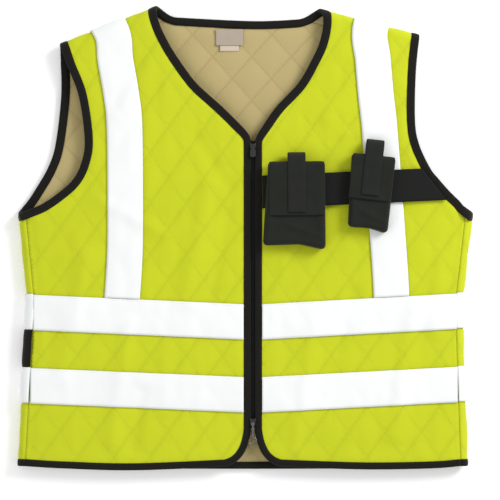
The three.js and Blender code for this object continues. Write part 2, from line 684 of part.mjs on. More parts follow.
// Reflective bands and tapes, sewn on over the quilting
const bandLine = (side, band, raise = 0) => {
  const start = side.sign * (ZIP_OPENING + EDGE_BINDING_WIDTH + GAP);
  const { side: sideHigh, zip: zipHigh } = side.bands[band];
  const ends = [vec(start, zipHigh * BODY_LENGTH), vec(side.sign * side.half, sideHigh * BODY_LENGTH)];
  return ends.map((point) => point.add(vec(0, raise)));
};
const bandStrip = (top, low, high) => {
  const bottom = top.map((point) => vec(point.x, point.y - TAPE_WIDTH)).reverse();
  return prism([...top, ...bottom], low, high);
};
for (const band of ['upper', 'lower']) {
  for (const { side, sheet, outline } of fronts) {
    const strip = bandStrip(bandLine(side, band), TAPE_LOW, TAPE_TOP);
    const trimmed = strip.intersect(prism(outline.outer, 0, TAPE_TOP + CUT_PAST));
    addPiece(`${band}_band_${side.name}`, lay(trimmed, sheet), SILVER, 0.45);
  }
  const [right, left] = SIDES;
  const across = (side, reach) => vec(side.sign * reach, side.bands[band].side * BODY_LENGTH);
  const top = [
    across(right, backEdgeHalf(right)),
    across(right, backFlatHalf(right)),
    across(left, backFlatHalf(left)),
    across(left, backEdgeHalf(left)),
  ];
  addPiece(`${band}_band_back`, lay(bandStrip(top, TAPE_LOW, TAPE_TOP), backSheet), SILVER, 0.45);
}
const tapeStrip = (centre) => {
  const edges = [shiftEvenly(centre, TAPE_WIDTH / 2), shiftEvenly(centre, -TAPE_WIDTH / 2).reverse()];
  return prism(edges.flat(), TAPE_LOW, TAPE_TOP);
};
for (const { side, sheet, outline } of fronts) {
  const rising = side.tape.map((row) => spot(side, row)).reverse();
  const shoulder = rising.at(-1);
  const behind = sheet.unfold(vec(shoulder.x, shoulder.y - TAPE_WIDTH));
  const bandRoom = bandStrip(bandLine(side, 'upper', GAP), 0, TAPE_TOP + CUT_PAST);
  const within = prism(outline.outer, 0, TAPE_TOP + CUT_PAST);
  const front = tapeStrip([...rising, behind]).subtract(bandRoom).intersect(within);
  addPiece(`shoulder_tape_${side.name}`, lay(front, sheet), SILVER, 0.45);
  const backTop = vec(shoulder.x, shoulder.y + TAPE_WIDTH);
  const bandHigh = Math.max(...SIDES.map((each) => each.bands.upper.side));
  const backEnd = vec(shoulder.x, bandHigh * BODY_LENGTH + GAP);
  const back = tapeStrip([backTop, backEnd]).intersect(prism(backOutline.outer, 0, TAPE_TOP + CUT_PAST));
  addPiece(`back_tape_${side.name}`, lay(back, backSheet), SILVER, 0.45);
}

// A strip bent along a path: (X, Z) points made as wide as given along Y, or turned to (Y, Z) along X
function bentStrip(path, thickness, width) {
  const half = thickness / 2;
  const outline = [...shiftEvenly(path, half), ...shiftEvenly(path, -half).reverse()];
  const geometry = new THREE.ExtrudeGeometry(new THREE.Shape(outline), { depth: width, bevelEnabled: false });
  return geometry.translate(0, 0, -width / 2).rotateX(Math.PI / 2);
}

// Chest band: webbing held down at both ends and raised over the pouch straps between them
const leftSide = SIDES[1];
const [bandTop, bandBottom] = [BAND_TOP, BAND_BOTTOM].map((edge) => edge.map((row) => spot(leftSide, row)));
const [bandStart, bandEnd] = [bandTop[0].x, bandBottom[1].x];
const bandRise = [
  [bandStart, STRAP_LOW],
  [bandStart + BAND_RAMP / 2, BAND_LOW],
  [bandTop[1].x - BAND_RAMP / 2, BAND_LOW],
  [bandEnd, STRAP_LOW],
].map(([across, level]) => vec(across, FRONT_Z + level + BAND / 2));
const bandSheet = bentStrip(bandRise, BAND, BODY_LENGTH).translate(0, bandTop[0].y, 0);
const bandCut = prism([...bandTop, ...bandBottom.reverse()], FRONT_Z, FRONT_Z + POUCH_LOW);
addPiece('chest_band', toGeometry(toSolid(bandSheet).intersect(bandCut)), CHARCOAL);

// Pouches: an open-mouthed body, a flap over the mouth, and a strap that loops behind the band
const pouchShape = (width, height, { flare, droop }) => {
  const [x, y] = [width / 2, height / 2];
  const [leftX, lowY] = [-x - flare, -y - droop];
  const shape = new THREE.Shape();
  shape.moveTo(leftX + POUCH_CORNER, -y).lineTo(0, -y).lineTo(x - POUCH_CORNER, lowY);
  shape.quadraticCurveTo(x, lowY, x, lowY + POUCH_CORNER).lineTo(x, y).lineTo(-x, y);
  shape.lineTo(leftX, -y + POUCH_CORNER).quadraticCurveTo(leftX, -y, leftX + POUCH_CORNER, -y);
  return shape;
};
function pouchBody(pouch) {
  const { width, height, depth } = pouch;
  const bevel = { bevelThickness: POUCH_BEVEL, bevelSize: POUCH_BEVEL, bevelSegments: 1, curveSegments: 2 };
  const core = [width - 2 * POUCH_BEVEL, height - 2 * POUCH_BEVEL];
  const outer = new THREE.ExtrudeGeometry(pouchShape(...core, pouch), {
    ...bevel,
    depth: depth - 2 * POUCH_BEVEL,
    bevelEnabled: true,
  }).translate(0, 0, POUCH_BEVEL);
  const room = [width - 2 * (POUCH_WALL + POUCH_BEVEL), height];
  const inner = new THREE.ExtrudeGeometry(pouchShape(...room, pouch), {
    ...bevel,
    depth: depth - 2 * (POUCH_WALL + POUCH_BEVEL),
    bevelEnabled: true,
  }).translate(0, POUCH_WALL + POUCH_BEVEL, POUCH_WALL + POUCH_BEVEL);
  return toGeometry(toSolid(outer).subtract(toSolid(inner)));
}
for (const pouch of POUCHES) {
  const { width, height, depth } = pouch;
  const group = new THREE.Group();
  const middle = spot(leftSide, pouch);
  group.position.set(middle.x, middle.y, FRONT_Z + POUCH_LOW);
  group.rotation.z = pouch.tilt;
  vest.add(group);
  const mouth = height / 2;
  const flapTop = depth + GAP + FLAP / 2;
  const flapPath = [
    vec(mouth + GAP + FLAP / 2, POUCH_BEVEL),
    vec(mouth + GAP + FLAP / 2, depth - POUCH_BEVEL + FLAP / 2),
    vec(mouth - POUCH_BEVEL + FLAP / 2, flapTop),
    vec(mouth - pouch.flap * height, flapTop),
  ];
  const strapTop = flapTop + FLAP / 2 + GAP + STRAP / 2;
  const strapLow = STRAP_LOW - POUCH_LOW + STRAP / 2;
  const loop = mouth + pouch.loop;
  const strapPath = [
    vec(mouth - pouch.strap * height, strapLow),
    vec(loop - STRAP_BEND, strapLow),
    vec(loop, depth / 3),
    vec(loop - (STRAP_BEND * 2) / 3, depth),
    vec(mouth - POUCH_BEVEL, strapTop),
    vec(mouth - pouch.strap * height, strapTop),
  ];
  const pieces = [
    ['body', pouchBody(pouch)],
    ['flap', bentStrip(flapPath, FLAP, width - POUCH_BEVEL).rotateZ(Math.PI / 2)],
    ['strap', bentStrip(strapPath, STRAP, STRAP_WIDTH).rotateZ(Math.PI / 2)],
  ];
  for (const [part, geometry] of pieces) {
    group.add(addPiece(`pouch_${part}_${pouch.name}`, geometry, CHARCOAL));
  }
}

// Side tab round the wearer's right fold, and the bare labels inside the back neck
const rightSide = SIDES[0];
const tabEnds = [
  rightSide.bands.lower.side * BODY_LENGTH + GAP,
  rightSide.bands.upper.side * BODY_LENGTH - TAPE_WIDTH - GAP,
];
const tabReach = [backFlatHalf(rightSide), backEdgeHalf(rightSide)].map((reach) => rightSide.sign * reach);
const tabOutline = tabEnds.flatMap((y, end) => {
  const corners = tabReach.map((x) => vec(x, y));
  return end ? corners.reverse() : corners;
});
addPiece('side_tab', lay(prism(tabOutline, TAPE_LOW, TAPE_TOP), backSheet), BLACK);
for (const { name, high, out, width, height, level, color } of LABELS) {
  const middle = spot(rightSide, { high, out });
  const top = LINING_LOW - GAP - level * (LABEL + GAP);
  const shape = [
    vec(middle.x - width / 2, middle.y - height / 2),
    vec(middle.x + width / 2, middle.y - height / 2),
    vec(middle.x + width / 2, middle.y + height / 2),
    vec(middle.x - width / 2, middle.y + height / 2),
  ];
  addPiece(name, lay(prism(shape, top - LABEL, top), backSheet), color, 0.7);
}

vest.updateMatrixWorld(true);
const bounds = new THREE.Box3().setFromObject(vest);
const centre = bounds.getCenter(new THREE.Vector3());
vest.position.set(-centre.x, -centre.y, -bounds.min.z);

export default vest;
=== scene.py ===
# %% [markdown]
# # A cooling vest, laid flat
# The vest is two quilted layers of cloth with bound edges, a zip, white reflective tape and two
# small pouches. Most of it is cloth that was cut flat and then folded. So this lesson draws each
# piece flat, as a tailor does, and one rule per panel bends it round the shoulder or side fold.
# Pieces drawn on the same flat cloth can then never cross each other.

import math

import bmesh
import bpy
import numpy as np
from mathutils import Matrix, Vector, geometry, noise


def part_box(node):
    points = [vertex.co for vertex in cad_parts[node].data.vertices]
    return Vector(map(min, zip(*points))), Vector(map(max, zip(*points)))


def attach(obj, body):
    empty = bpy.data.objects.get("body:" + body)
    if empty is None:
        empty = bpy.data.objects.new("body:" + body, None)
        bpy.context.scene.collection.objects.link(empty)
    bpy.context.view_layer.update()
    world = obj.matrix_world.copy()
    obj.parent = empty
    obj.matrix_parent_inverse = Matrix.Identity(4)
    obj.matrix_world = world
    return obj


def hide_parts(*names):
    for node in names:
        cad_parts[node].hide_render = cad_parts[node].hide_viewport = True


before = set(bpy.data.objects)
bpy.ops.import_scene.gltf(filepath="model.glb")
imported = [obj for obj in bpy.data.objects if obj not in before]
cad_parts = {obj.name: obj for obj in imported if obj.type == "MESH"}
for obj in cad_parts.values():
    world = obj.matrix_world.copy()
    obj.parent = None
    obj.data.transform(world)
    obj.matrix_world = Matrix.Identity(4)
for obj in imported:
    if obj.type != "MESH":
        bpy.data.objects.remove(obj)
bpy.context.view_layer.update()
print("construction model:", len(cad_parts), "nodes")

# %% [markdown]
# ## Sizes
# All lengths are in metres. Across is measured from the zip line, and high from the hem. The
# tables give heights as shares of the body length and places as shares of a half width, so that
# the whole pattern follows a few driving sizes.

# %% Driving sizes
BODY_LENGTH = 0.654
HALF_WIDTH = 0.324
ZIP_SHIFT = 0.0105
FOLD = 0.008
SEAM_INSET = 0.009
GAP = 0.0003
SHELL = 0.0012
PUFF = 0.0024
LINING = 0.0016
TAPE = 0.001
TAPE_WIDTH = 0.05
BINDING = 0.0011
WIDE_BINDING = 0.010
NARROW_BINDING = 0.0085
ZIP_OPENING = 0.0043
CORNER_WIDTH = 0.04
CORNER_HEIGHT = 0.052
CORNER_SWELL = 0.006
HALF_TURN = math.pi * FOLD

# Levels through the cloth, outwards from the plane between the shell and the lining
SHELL_TOP = SHELL + PUFF
LINING_LOW = -(GAP + LINING)
TAPE_LOW = SHELL_TOP + GAP
TAPE_TOP = TAPE_LOW + TAPE
BINDING_TOP = SHELL + GAP + BINDING
BINDING_LOW = LINING_LOW - GAP - BINDING
STRAP_LOW = TAPE_TOP + GAP
STRAP = 0.0014
BAND_LOW = STRAP_LOW + STRAP + GAP
BAND = 0.0016
POUCH_LOW = BAND_LOW + BAND + GAP
BACK_Z = TAPE_TOP
MIDDLE_Z = BACK_Z + FOLD
FRONT_Z = MIDDLE_Z + FOLD

# The zip line and the hem in the construction model's frame
HEM_BY_ZIP = 0.01
coil_low, coil_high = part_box("zip_coil")
ZIP_X = (coil_low[0] + coil_high[0]) / 2
HEM_Y = coil_low[1] - CORNER_HEIGHT - HEM_BY_ZIP * BODY_LENGTH
print("zip line at", round(ZIP_X, 4), "hem at", round(HEM_Y, 4))

# %% [markdown]
# ## The pattern
# Each row of a table is a point: how high, and how far out. The wearer's right side is the
# viewer's left. A smooth curve runs through the points of each edge.

# %% Pattern tables
SIDE_HEIGHTS = (0.011, 0.36, 0.553)
SIDES = [
    {
        "name": "right",
        "sign": -1,
        "half": HALF_WIDTH + ZIP_SHIFT,
        "side_out": (0.998, 0.958, 0.995),
        "shoulder": ((0.923, 0.814), (1.003, 0.413)),
        "neck": (
            (0.966, 0.401), (0.923, 0.363), (0.884, 0.316), (0.832, 0.24), (0.781, 0.131), (0.731, 0.034),
        ),
        "front_arm": (
            (0.572, 0.885), (0.599, 0.809), (0.625, 0.755), (0.66, 0.72), (0.712, 0.704),
            (0.806, 0.729), (0.873, 0.778),
        ),
        "back_arm": ((0.572, 0.96), (0.599, 0.923), (0.651, 0.864), (0.703, 0.831), (0.806, 0.807)),
        "rear_arm": (0.884, 0.809),
        "rear_neck": (0.977, 0.348),
        "hem": ((0.01, 0.169), (0.002, 0.5), (0.006, 0.8)),
        "tape": (
            (0.949, 0.599), (0.884, 0.579), (0.806, 0.553), (0.729, 0.54), (0.496, 0.538), (0.373, 0.55),
        ),
        "upper": (0.38, 0.358),
        "lower": (0.222, 0.201),
    },
    {
        "name": "left",
        "sign": 1,
        "half": HALF_WIDTH - ZIP_SHIFT,
        "side_out": (0.974, 0.95, 0.996),
        "shoulder": ((0.942, 0.747), (0.997, 0.31)),
        "neck": (
            (0.966, 0.322), (0.923, 0.306), (0.884, 0.27), (0.832, 0.207), (0.781, 0.108), (0.731, 0.036),
        ),
        "front_arm": (
            (0.576, 0.93), (0.599, 0.882), (0.625, 0.834), (0.651, 0.792), (0.703, 0.742),
            (0.755, 0.724), (0.86, 0.728),
        ),
        "back_arm": ((0.576, 0.928), (0.599, 0.874), (0.651, 0.783), (0.703, 0.733), (0.819, 0.711)),
        "rear_arm": (0.906, 0.724),
        "rear_neck": (0.973, 0.232),
        "hem": ((0.01, 0.169), (0.004, 0.5), (0.006, 0.8)),
        "tape": (
            (0.957, 0.529), (0.884, 0.539), (0.806, 0.553), (0.729, 0.57), (0.47, 0.611), (0.373, 0.623),
        ),
        "upper": (0.383, 0.358),
        "lower": (0.225, 0.201),
    },
]
RIGHT, LEFT = SIDES
APEX_HIGH = 0.712
SEAM_TOP_HIGH = 0.557
ARMPIT_HIGH = 0.553
BACK_NECK_HIGH = 0.968
BACK_HEM_HIGH = 0.004


def spot(side, row):
    """The flat place of a table row."""
    high, out = row
    return np.array((side["sign"] * out * side["half"], high * BODY_LENGTH))


print("half widths at the chest:", [round(side["half"], 4) for side in SIDES])

# %% [markdown]
# ## Curves on flat cloth
# A few small helpers do all the drawing: a curve through points, the same curve with evenly
# spaced points, a rounded corner, and a curve moved sideways, which is how a tailor marks a seam
# allowance. Blender's own curves could draw these too, but plain points can also be measured.

# %% Curve helpers
def spline(points, count=160):
    """A smooth curve through the given points."""
    points = np.array(points, float)
    places = np.linspace(0, len(points) - 1, count + 1)
    first = np.minimum(places.astype(int), len(points) - 2)
    t = (places - first)[:, None]
    p0 = points[np.maximum(first - 1, 0)]
    p1, p2 = points[first], points[first + 1]
    p3 = points[np.minimum(first + 2, len(points) - 1)]
    v0, v1 = (p2 - p0) / 2, (p3 - p1) / 2
    return (2 * p1 - 2 * p2 + v0 + v1) * t**3 + (-3 * p1 + 3 * p2 - 2 * v0 - v1) * t**2 + v0 * t + p1


def distance_along(points):
    """How far each point is from the first one, measured along the path."""
    return np.concatenate([[0], np.cumsum(np.linalg.norm(np.diff(points, axis=0), axis=1))])


def share_points(points, count):
    """The same path with a given number of evenly spaced points."""
    far = distance_along(points)
    wanted = np.linspace(0, far[-1], count)
    return np.stack([np.interp(wanted, far, column) for column in points.T], axis=1)


def evenly(points, step):
    """The same path with points about one step apart."""
    points = np.array(points, float)
    return share_points(points, max(1, round(distance_along(points)[-1] / step)) + 1)


def soft_corner(start, pull, end, count):
    """A curve from start to end that leans towards the pull point."""
    start, pull, end = (np.array(point, float) for point in (start, pull, end))
    t = np.linspace(0, 1, count)[:, None]
    return (1 - t) ** 2 * start + 2 * t * (1 - t) * pull + t**2 * end


def sideways(points):
    """The unit direction to the left of the path at each point."""
    along = np.gradient(points, axis=0)
    along /= np.linalg.norm(along, axis=1)[:, None]
    return np.stack([-along[:, 1], along[:, 0]], axis=1)


def blend_in(value, low, high):
    """Rises smoothly from 0 at the low value to 1 at the high one."""
    t = np.clip((value - low) / (high - low), 0, 1)
    return t * t * (3 - 2 * t)


def distance_to(points, path, closed=False):
    """How far each flat point is from a path."""
    ends = np.roll(path, -1, axis=0) if closed else path[1:]
    starts = path if closed else path[:-1]
    best = np.full(len(points), 1e9)
    for start, end in zip(starts, ends):
        run = end - start
        share = np.clip(((points - start) @ run) / max(run @ run, 1e-12), 0, 1)
        away = points - start - share[:, None] * run
        best = np.minimum(best, np.einsum("ij,ij->i", away, away))
    return np.sqrt(best)


def inside(points, outline):
    """Even-odd test of flat points against a closed outline."""
    x, y = points[:, 0], points[:, 1]
    odd = np.zeros(len(points), bool)
    for (x0, y0), (x1, y1) in zip(outline, np.roll(outline, -1, axis=0)):
        if y0 == y1:
            continue
        crosses = (y0 > y) != (y1 > y)
        odd ^= crosses & (x < (x1 - x0) * (y - y0) / (y1 - y0) + x0)
    return odd


print("curve helpers ready")

# %% [markdown]
# ## How the cloth lies
# The vest isn't pressed flat. The front has a few long soft folds, and between them it lies in
# low waves. One function holds them all, and every piece on the front adds the same height, so
# tape, binding and cloth rise together. A crease is a row: two ends, half its width, its height.

# %% The drape of the front
CREASES = (
    ((-0.20, 0.04), (-0.175, 0.205), 0.012, 0.0022),
    ((-0.17, 0.03), (-0.155, 0.11), 0.009, -0.0016),
    ((-0.095, 0.24), (-0.06, 0.40), 0.013, 0.0024),
    ((-0.06, 0.235), (-0.035, 0.36), 0.009, -0.0016),
    ((-0.27, 0.13), (-0.235, 0.30), 0.014, 0.002),
    ((-0.215, 0.38), (-0.13, 0.335), 0.010, 0.0014),
    ((-0.19, 0.50), (-0.145, 0.57), 0.012, 0.0016),
    ((-0.08, 0.47), (-0.035, 0.40), 0.010, -0.0014),
    ((0.06, 0.03), (0.085, 0.20), 0.012, 0.0018),
    ((0.12, 0.17), (0.14, 0.25), 0.010, -0.0014),
    ((0.20, 0.05), (0.225, 0.22), 0.014, 0.002),
    ((0.255, 0.20), (0.27, 0.34), 0.012, 0.0016),
    ((0.03, 0.255), (0.05, 0.31), 0.008, 0.0012),
    ((0.105, 0.40), (0.125, 0.47), 0.010, 0.001),
    ((0.10, 0.50), (0.16, 0.585), 0.012, 0.0014),
    ((-0.30, 0.27), (-0.25, 0.345), 0.011, -0.0012),
)
CREASE_STRENGTH = 1.3
WAVE_HEIGHT = 0.002
WAVE_LENGTH = 0.085
RIPPLE_HEIGHT = 0.0007
RIPPLE_LENGTH = 0.03
RIPPLE_STRETCH = (1.8, 0.6)
CALM_BY_FOLD = (0.016, 0.06)
CALM_BY_ZIP = (0.012, 0.05)
CALM_BY_HEM = (0.0, 0.03)
WAVE_BY_ZIP = 0.25
WAVE_BY_HEM = 0.4
POUCH_MIDDLE, POUCH_REACH, POUCH_START = 0.385, 0.065, 0.022
POUCH_FADE = 0.03


def waves(x, y, length, seed):
    """Smooth random heights of about one wave per length. The seed picks the pattern."""
    places = zip(np.ravel(x) / length, np.ravel(y) / length)
    return np.array([noise.noise(Vector((a, b, seed))) for a, b in places])


def drape(x, y):
    """The height of the soft folds. They fade at the side folds, zip, hem and pouches."""
    flat = np.stack([x, y], axis=1)
    across, up = RIPPLE_STRETCH
    height = WAVE_HEIGHT * waves(x, y, WAVE_LENGTH, seed=3.7)
    height = height + RIPPLE_HEIGHT * waves(x * across, y * up, RIPPLE_LENGTH, seed=8.1)
    for start, end, width, rise in CREASES:
        away = distance_to(flat, np.array([start, end]))
        height = height + CREASE_STRENGTH * rise * np.exp(-((away / width) ** 2))
    half = np.where(x < 0, RIGHT["half"], LEFT["half"])
    by_fold = blend_in(half - np.abs(x), *CALM_BY_FOLD)
    by_zip = WAVE_BY_ZIP + (1 - WAVE_BY_ZIP) * blend_in(np.abs(x), *CALM_BY_ZIP)
    past_pouches = np.maximum(np.abs(y - POUCH_MIDDLE) - POUCH_REACH, POUCH_START - x)
    by_pouches = blend_in(past_pouches, 0, POUCH_FADE)
    by_hem = WAVE_BY_HEM + (1 - WAVE_BY_HEM) * blend_in(y, *CALM_BY_HEM)
    return height * by_fold * by_zip * by_pouches * by_hem


print("creases:", len(CREASES))

# %% [markdown]
# ## Folding rules
# A rule takes a flat place and a level and gives the place in space. Past the fold line the cloth
# goes round a half circle and comes back on the other side. Bending a finished mesh with a curve
# modifier could do this too, but a formula keeps the layers exactly parallel.

# %% Folding rules
CALM_BY_SHOULDER = 0.05


def half_width(side, y):
    """How far out the side fold lies at each height."""
    out = np.interp(y / BODY_LENGTH, SIDE_HEIGHTS, side["side_out"])
    slope = (side["side_out"][2] - side["side_out"][1]) / (SIDE_HEIGHTS[2] - SIDE_HEIGHTS[1])
    above = np.maximum(y / BODY_LENGTH - SIDE_HEIGHTS[2], 0)
    return (out + above * slope) * side["half"] - SHELL_TOP


def back_flat(side):
    """Where the side fold starts on the flat back."""
    return side["half"] - SHELL_TOP - FOLD


def back_edge(side):
    """Where the flat back ends, past the side fold, at the side seam."""
    return back_flat(side) + HALF_TURN + SEAM_INSET - FOLD - GAP


def shoulder_line(side):
    """A point on the shoulder fold, and the direction that points over it."""
    arm_end, neck_end = (spot(side, row) for row in side["shoulder"])
    along = (neck_end - arm_end) / np.linalg.norm(neck_end - arm_end)
    return arm_end, side["sign"] * np.array((along[1], -along[0]))


def front_rule(side):
    """Makes the rule of one front, which runs over the shoulder fold and down behind it."""
    arm_end, up = shoulder_line(side)

    def place(x, y, level):
        flat = np.stack([x, y], axis=1)
        travel = (flat - arm_end) @ up + SHELL_TOP + FOLD
        level = level + drape(x, y) * (1 - blend_in(travel, -CALM_BY_SHOULDER, 0.0))
        angle = np.clip(travel, 0, HALF_TURN) / FOLD
        past = np.maximum(travel - HALF_TURN, 0)
        foot = flat - np.maximum(travel, 0)[:, None] * up
        reach = (FOLD + level) * np.sin(angle) - past
        foot = foot + np.where(travel > 0, reach, 0)[:, None] * up
        z = MIDDLE_Z + (FOLD + level) * np.cos(angle)
        return np.stack([foot[:, 0], foot[:, 1], z], axis=1)

    return place


def unfold_front(side, point):
    """Lays a point that lies behind the shoulder fold out on the flat front."""
    arm_end, up = shoulder_line(side)
    below = -((point - arm_end) @ up + SHELL_TOP + FOLD)
    return point + up * (2 * below + HALF_TURN)


def back_rule(across, y, level):
    """Bends the flat back round both side folds."""
    x, z = np.zeros_like(across), np.zeros_like(across)
    for side in SIDES:
        chosen = across < 0 if side is RIGHT else across >= 0
        flat = back_flat(side)
        start = half_width(side, y) - FOLD
        travel = np.abs(across) - flat
        angle = np.clip(travel, 0, HALF_TURN) / FOLD
        bent = start + (FOLD + level) * np.sin(angle) - np.maximum(travel - HALF_TURN, 0)
        here = np.where(travel <= 0, across * start / flat, side["sign"] * bent)
        x = np.where(chosen, here, x)
        z = np.where(chosen, MIDDLE_Z - (FOLD + level) * np.cos(angle), z)
    return np.stack([x, y, z], axis=1)


def unfold_back(point):
    """Lays a point of the folded back out on the flat back."""
    side = RIGHT if point[0] < 0 else LEFT
    start = half_width(side, point[1]) - FOLD
    past = abs(point[0]) - start
    if past <= 0:
        return np.array((point[0] * back_flat(side) / start, point[1]))
    reach = back_flat(side) + FOLD * math.asin(min(1, past / FOLD))
    return np.array((side["sign"] * reach, point[1]))


PLACES = {"right": front_rule(RIGHT), "left": front_rule(LEFT), "back": back_rule}
print("folding rules:", ", ".join(PLACES))

# %% [markdown]
# ## The cut edges
# Each panel's edge is a loop of named runs. The bindings follow some of these runs later, so they
# are kept by name. A mesh of the panel could be cut out with a boolean, but an edge that is drawn
# first gives the panel and its binding exactly the same line.

# %% Edges of the fronts
STEP = 0.003


def front_edges(side):
    sign = side["sign"]
    zip_x = sign * ZIP_OPENING
    apex = np.array((zip_x, APEX_HIGH * BODY_LENGTH))
    hem = [spot(side, row) for row in side["hem"]]
    corner_end = np.array((sign * CORNER_WIDTH, hem[0][1]))
    corner_top = np.array((zip_x, corner_end[1] + CORNER_HEIGHT))
    corner_pull = (2 * zip_x, corner_end[1] + CORNER_SWELL)
    corner = soft_corner(corner_top, corner_pull, corner_end, 30)

    def seam_at(y):
        return np.array((sign * (half_width(side, np.array(y)) - SEAM_INSET), y))

    seam = [seam_at(SIDE_HEIGHTS[0] * BODY_LENGTH), seam_at(SIDE_HEIGHTS[1] * BODY_LENGTH)]
    armpit = seam_at(SEAM_TOP_HIGH * BODY_LENGTH)
    rear_arm = unfold_front(side, spot(side, side["rear_arm"]))
    rear_neck = unfold_front(side, spot(side, side["rear_neck"]))
    arm_end, neck_end = (spot(side, row) for row in side["shoulder"])
    front_arm = [spot(side, row) for row in side["front_arm"]]
    neck = [spot(side, row) for row in side["neck"]]
    return {
        "zip": evenly([apex, corner_top], STEP),
        "corner": evenly(corner, STEP),
        "hem": evenly(spline([corner_end, *hem[1:], seam[0]]), STEP),
        "seam": evenly([*seam, armpit], STEP),
        "arm": evenly(spline([armpit, *front_arm, arm_end, rear_arm]), STEP),
        "rear": evenly([rear_arm, rear_neck], STEP),
        "neck": evenly(spline([rear_neck, neck_end, *neck, apex]), STEP),
    }


FRONT_EDGES = {side["name"]: front_edges(side) for side in SIDES}
print("front runs:", ", ".join(FRONT_EDGES["right"]))

# %% Edges of the back
def back_edges(side):
    edge_x = side["sign"] * back_edge(side)
    low = np.array((edge_x, SIDE_HEIGHTS[0] * BODY_LENGTH))
    high = np.array((edge_x, SEAM_TOP_HIGH * BODY_LENGTH))
    fold = np.array((side["sign"] * (back_flat(side) + HALF_TURN / 2), ARMPIT_HIGH * BODY_LENGTH))
    below = np.array((0, -GAP))
    rear_arm = unfold_back(spot(side, side["rear_arm"]) + below)
    rear_neck = unfold_back(spot(side, side["rear_neck"]) + below)
    arm = [unfold_back(spot(side, row)) for row in side["back_arm"]]
    return {
        "seam": evenly([low, high], STEP),
        "arm": evenly(spline([high, fold, *arm, rear_arm]), STEP),
        "rear": evenly([rear_arm, rear_neck], STEP),
        "rear_neck": rear_neck,
        "low": low,
    }


BACK_EDGES = {side["name"]: back_edges(side) for side in SIDES}
hem_middles = [spot(side, (BACK_HEM_HIGH, 0.5)) for side in SIDES]
BACK_HEM = evenly(spline([BACK_EDGES["right"]["low"], *hem_middles, BACK_EDGES["left"]["low"]]), STEP)
neck_middle = np.array((0, BACK_NECK_HIGH * BODY_LENGTH))
neck_ends = [BACK_EDGES[name]["rear_neck"] for name in ("left", "right")]
BACK_NECK = evenly(spline([neck_ends[0], neck_middle, neck_ends[1]]), STEP)
print("back runs:", ", ".join(BACK_EDGES["right"]))

# %% Outlines of the three panels
def join_runs(*runs):
    """One loop from runs that each start where the last one ends."""
    return np.concatenate([run[:-1] for run in runs])


OUTLINES = {}
for side in SIDES:
    edges = FRONT_EDGES[side["name"]]
    loop = join_runs(*(edges[run] for run in ("zip", "corner", "hem", "seam", "arm", "rear", "neck")))
    OUTLINES[side["name"]] = loop if side["sign"] > 0 else loop[::-1]
left_back, right_back = BACK_EDGES["left"], BACK_EDGES["right"]
OUTLINES["back"] = join_runs(
    BACK_HEM, left_back["seam"], left_back["arm"], left_back["rear"], BACK_NECK,
    right_back["rear"][::-1], right_back["arm"][::-1], right_back["seam"][::-1],
)
print("edge points:", {name: len(loop) for name, loop in OUTLINES.items()})

# %% [markdown]
# ## Making meshes
# A few builders make nearly every piece. A sheet fills an outline with triangles, has a top and
# an underside, and is closed round its rim. A ribbon sweeps a closed profile along a path, for
# bindings. Each keeps the cloth's own flat measure as its UV map, so a weave can follow the cloth.

# %% Pieces and sheets
pieces = []


def new_object(name, data):
    """Puts a mesh, a lamp or a camera into the scene."""
    obj = bpy.data.objects.new(name, data)
    bpy.context.collection.objects.link(obj)
    return obj


def make_mesh(name, verts, faces, uv, material):
    """A smooth piece from flat-pattern vertices, moved to the frame's own zero."""
    mesh = bpy.data.meshes.new(name)
    verts = np.array(verts, float) + (ZIP_X, HEM_Y, 0)
    mesh.from_pydata(verts.tolist(), [], [list(map(int, face)) for face in faces])
    layer = mesh.uv_layers.new(name="flat")
    corners = np.zeros(len(mesh.loops), np.int32)
    mesh.loops.foreach_get("vertex_index", corners)
    layer.data.foreach_set("uv", np.array(uv, float)[corners].ravel())
    mesh.polygons.foreach_set("use_smooth", [True] * len(mesh.polygons))
    mesh.materials.append(material)
    mesh.validate()
    return new_object(name, mesh)


def stands_for(obj, *nodes, slot):
    """Keeps a piece's name, puts it under the root, and hides the solids of the construction model that it
    takes the place of.
    """
    pieces.append(obj.name)
    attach(obj, "root")
    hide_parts(*nodes)


def face_outwards(obj):
    bm = bmesh.new()
    bm.from_mesh(obj.data)
    bmesh.ops.recalc_face_normals(bm, faces=bm.faces)
    bm.to_mesh(obj.data)
    bm.free()


def triangulate(outline, grid):
    """Fills an anticlockwise outline with triangles between its points and the grid points."""
    flat = np.concatenate([outline, grid])
    ring = list(range(len(outline)))
    result = geometry.delaunay_2d_cdt([Vector(p) for p in flat], [], [ring], 1, 1e-7)
    points = np.array([tuple(v) for v in result[0]])
    triangles = np.array([list(face) for face in result[2]])
    first = {}
    for i, origins in enumerate(result[3]):
        for origin in origins:
            first[origin] = i
    rim = [first[i] for i in ring]
    return points, triangles, rim


def sheet(name, flat, triangles, rim, top, under, place, material, mirrored=False):
    """A closed sheet: a top, an underside, and a wall along the rim."""
    count = len(flat)
    verts = np.concatenate([place(flat[:, 0], flat[:, 1], level) for level in (top, under)])
    after = np.roll(rim, -1)
    wall_a = np.stack([rim, np.array(rim) + count, after + count], axis=1)
    wall_b = np.stack([rim, after + count, after], axis=1)
    faces = np.concatenate([triangles, triangles[:, ::-1] + count, wall_a, wall_b])
    if mirrored:
        faces = faces[:, ::-1]
    return make_mesh(name, verts, faces, np.concatenate([flat, flat]), material)


print("sheet builder ready")

# %% Sweeps and ribbons
def sweep(path, profile, place, turn=1, wobble=None, widths=None):
    """Sweeps a profile of (sideways, level) points along a flat path. Gives one row per path point."""
    normal = sideways(path) * turn
    far = distance_along(path)
    widths = np.ones(len(path)) if widths is None else widths
    lines = []
    for out, level in profile:
        reach = out * widths if out > 0 else np.full(len(path), out)
        flat = path + normal * reach[:, None]
        height = np.full(len(path), level)
        if wobble is not None:
            height = height + wobble(far, level)
        lines.append(place(flat[:, 0], flat[:, 1], height))
    return np.stack(lines, axis=1)


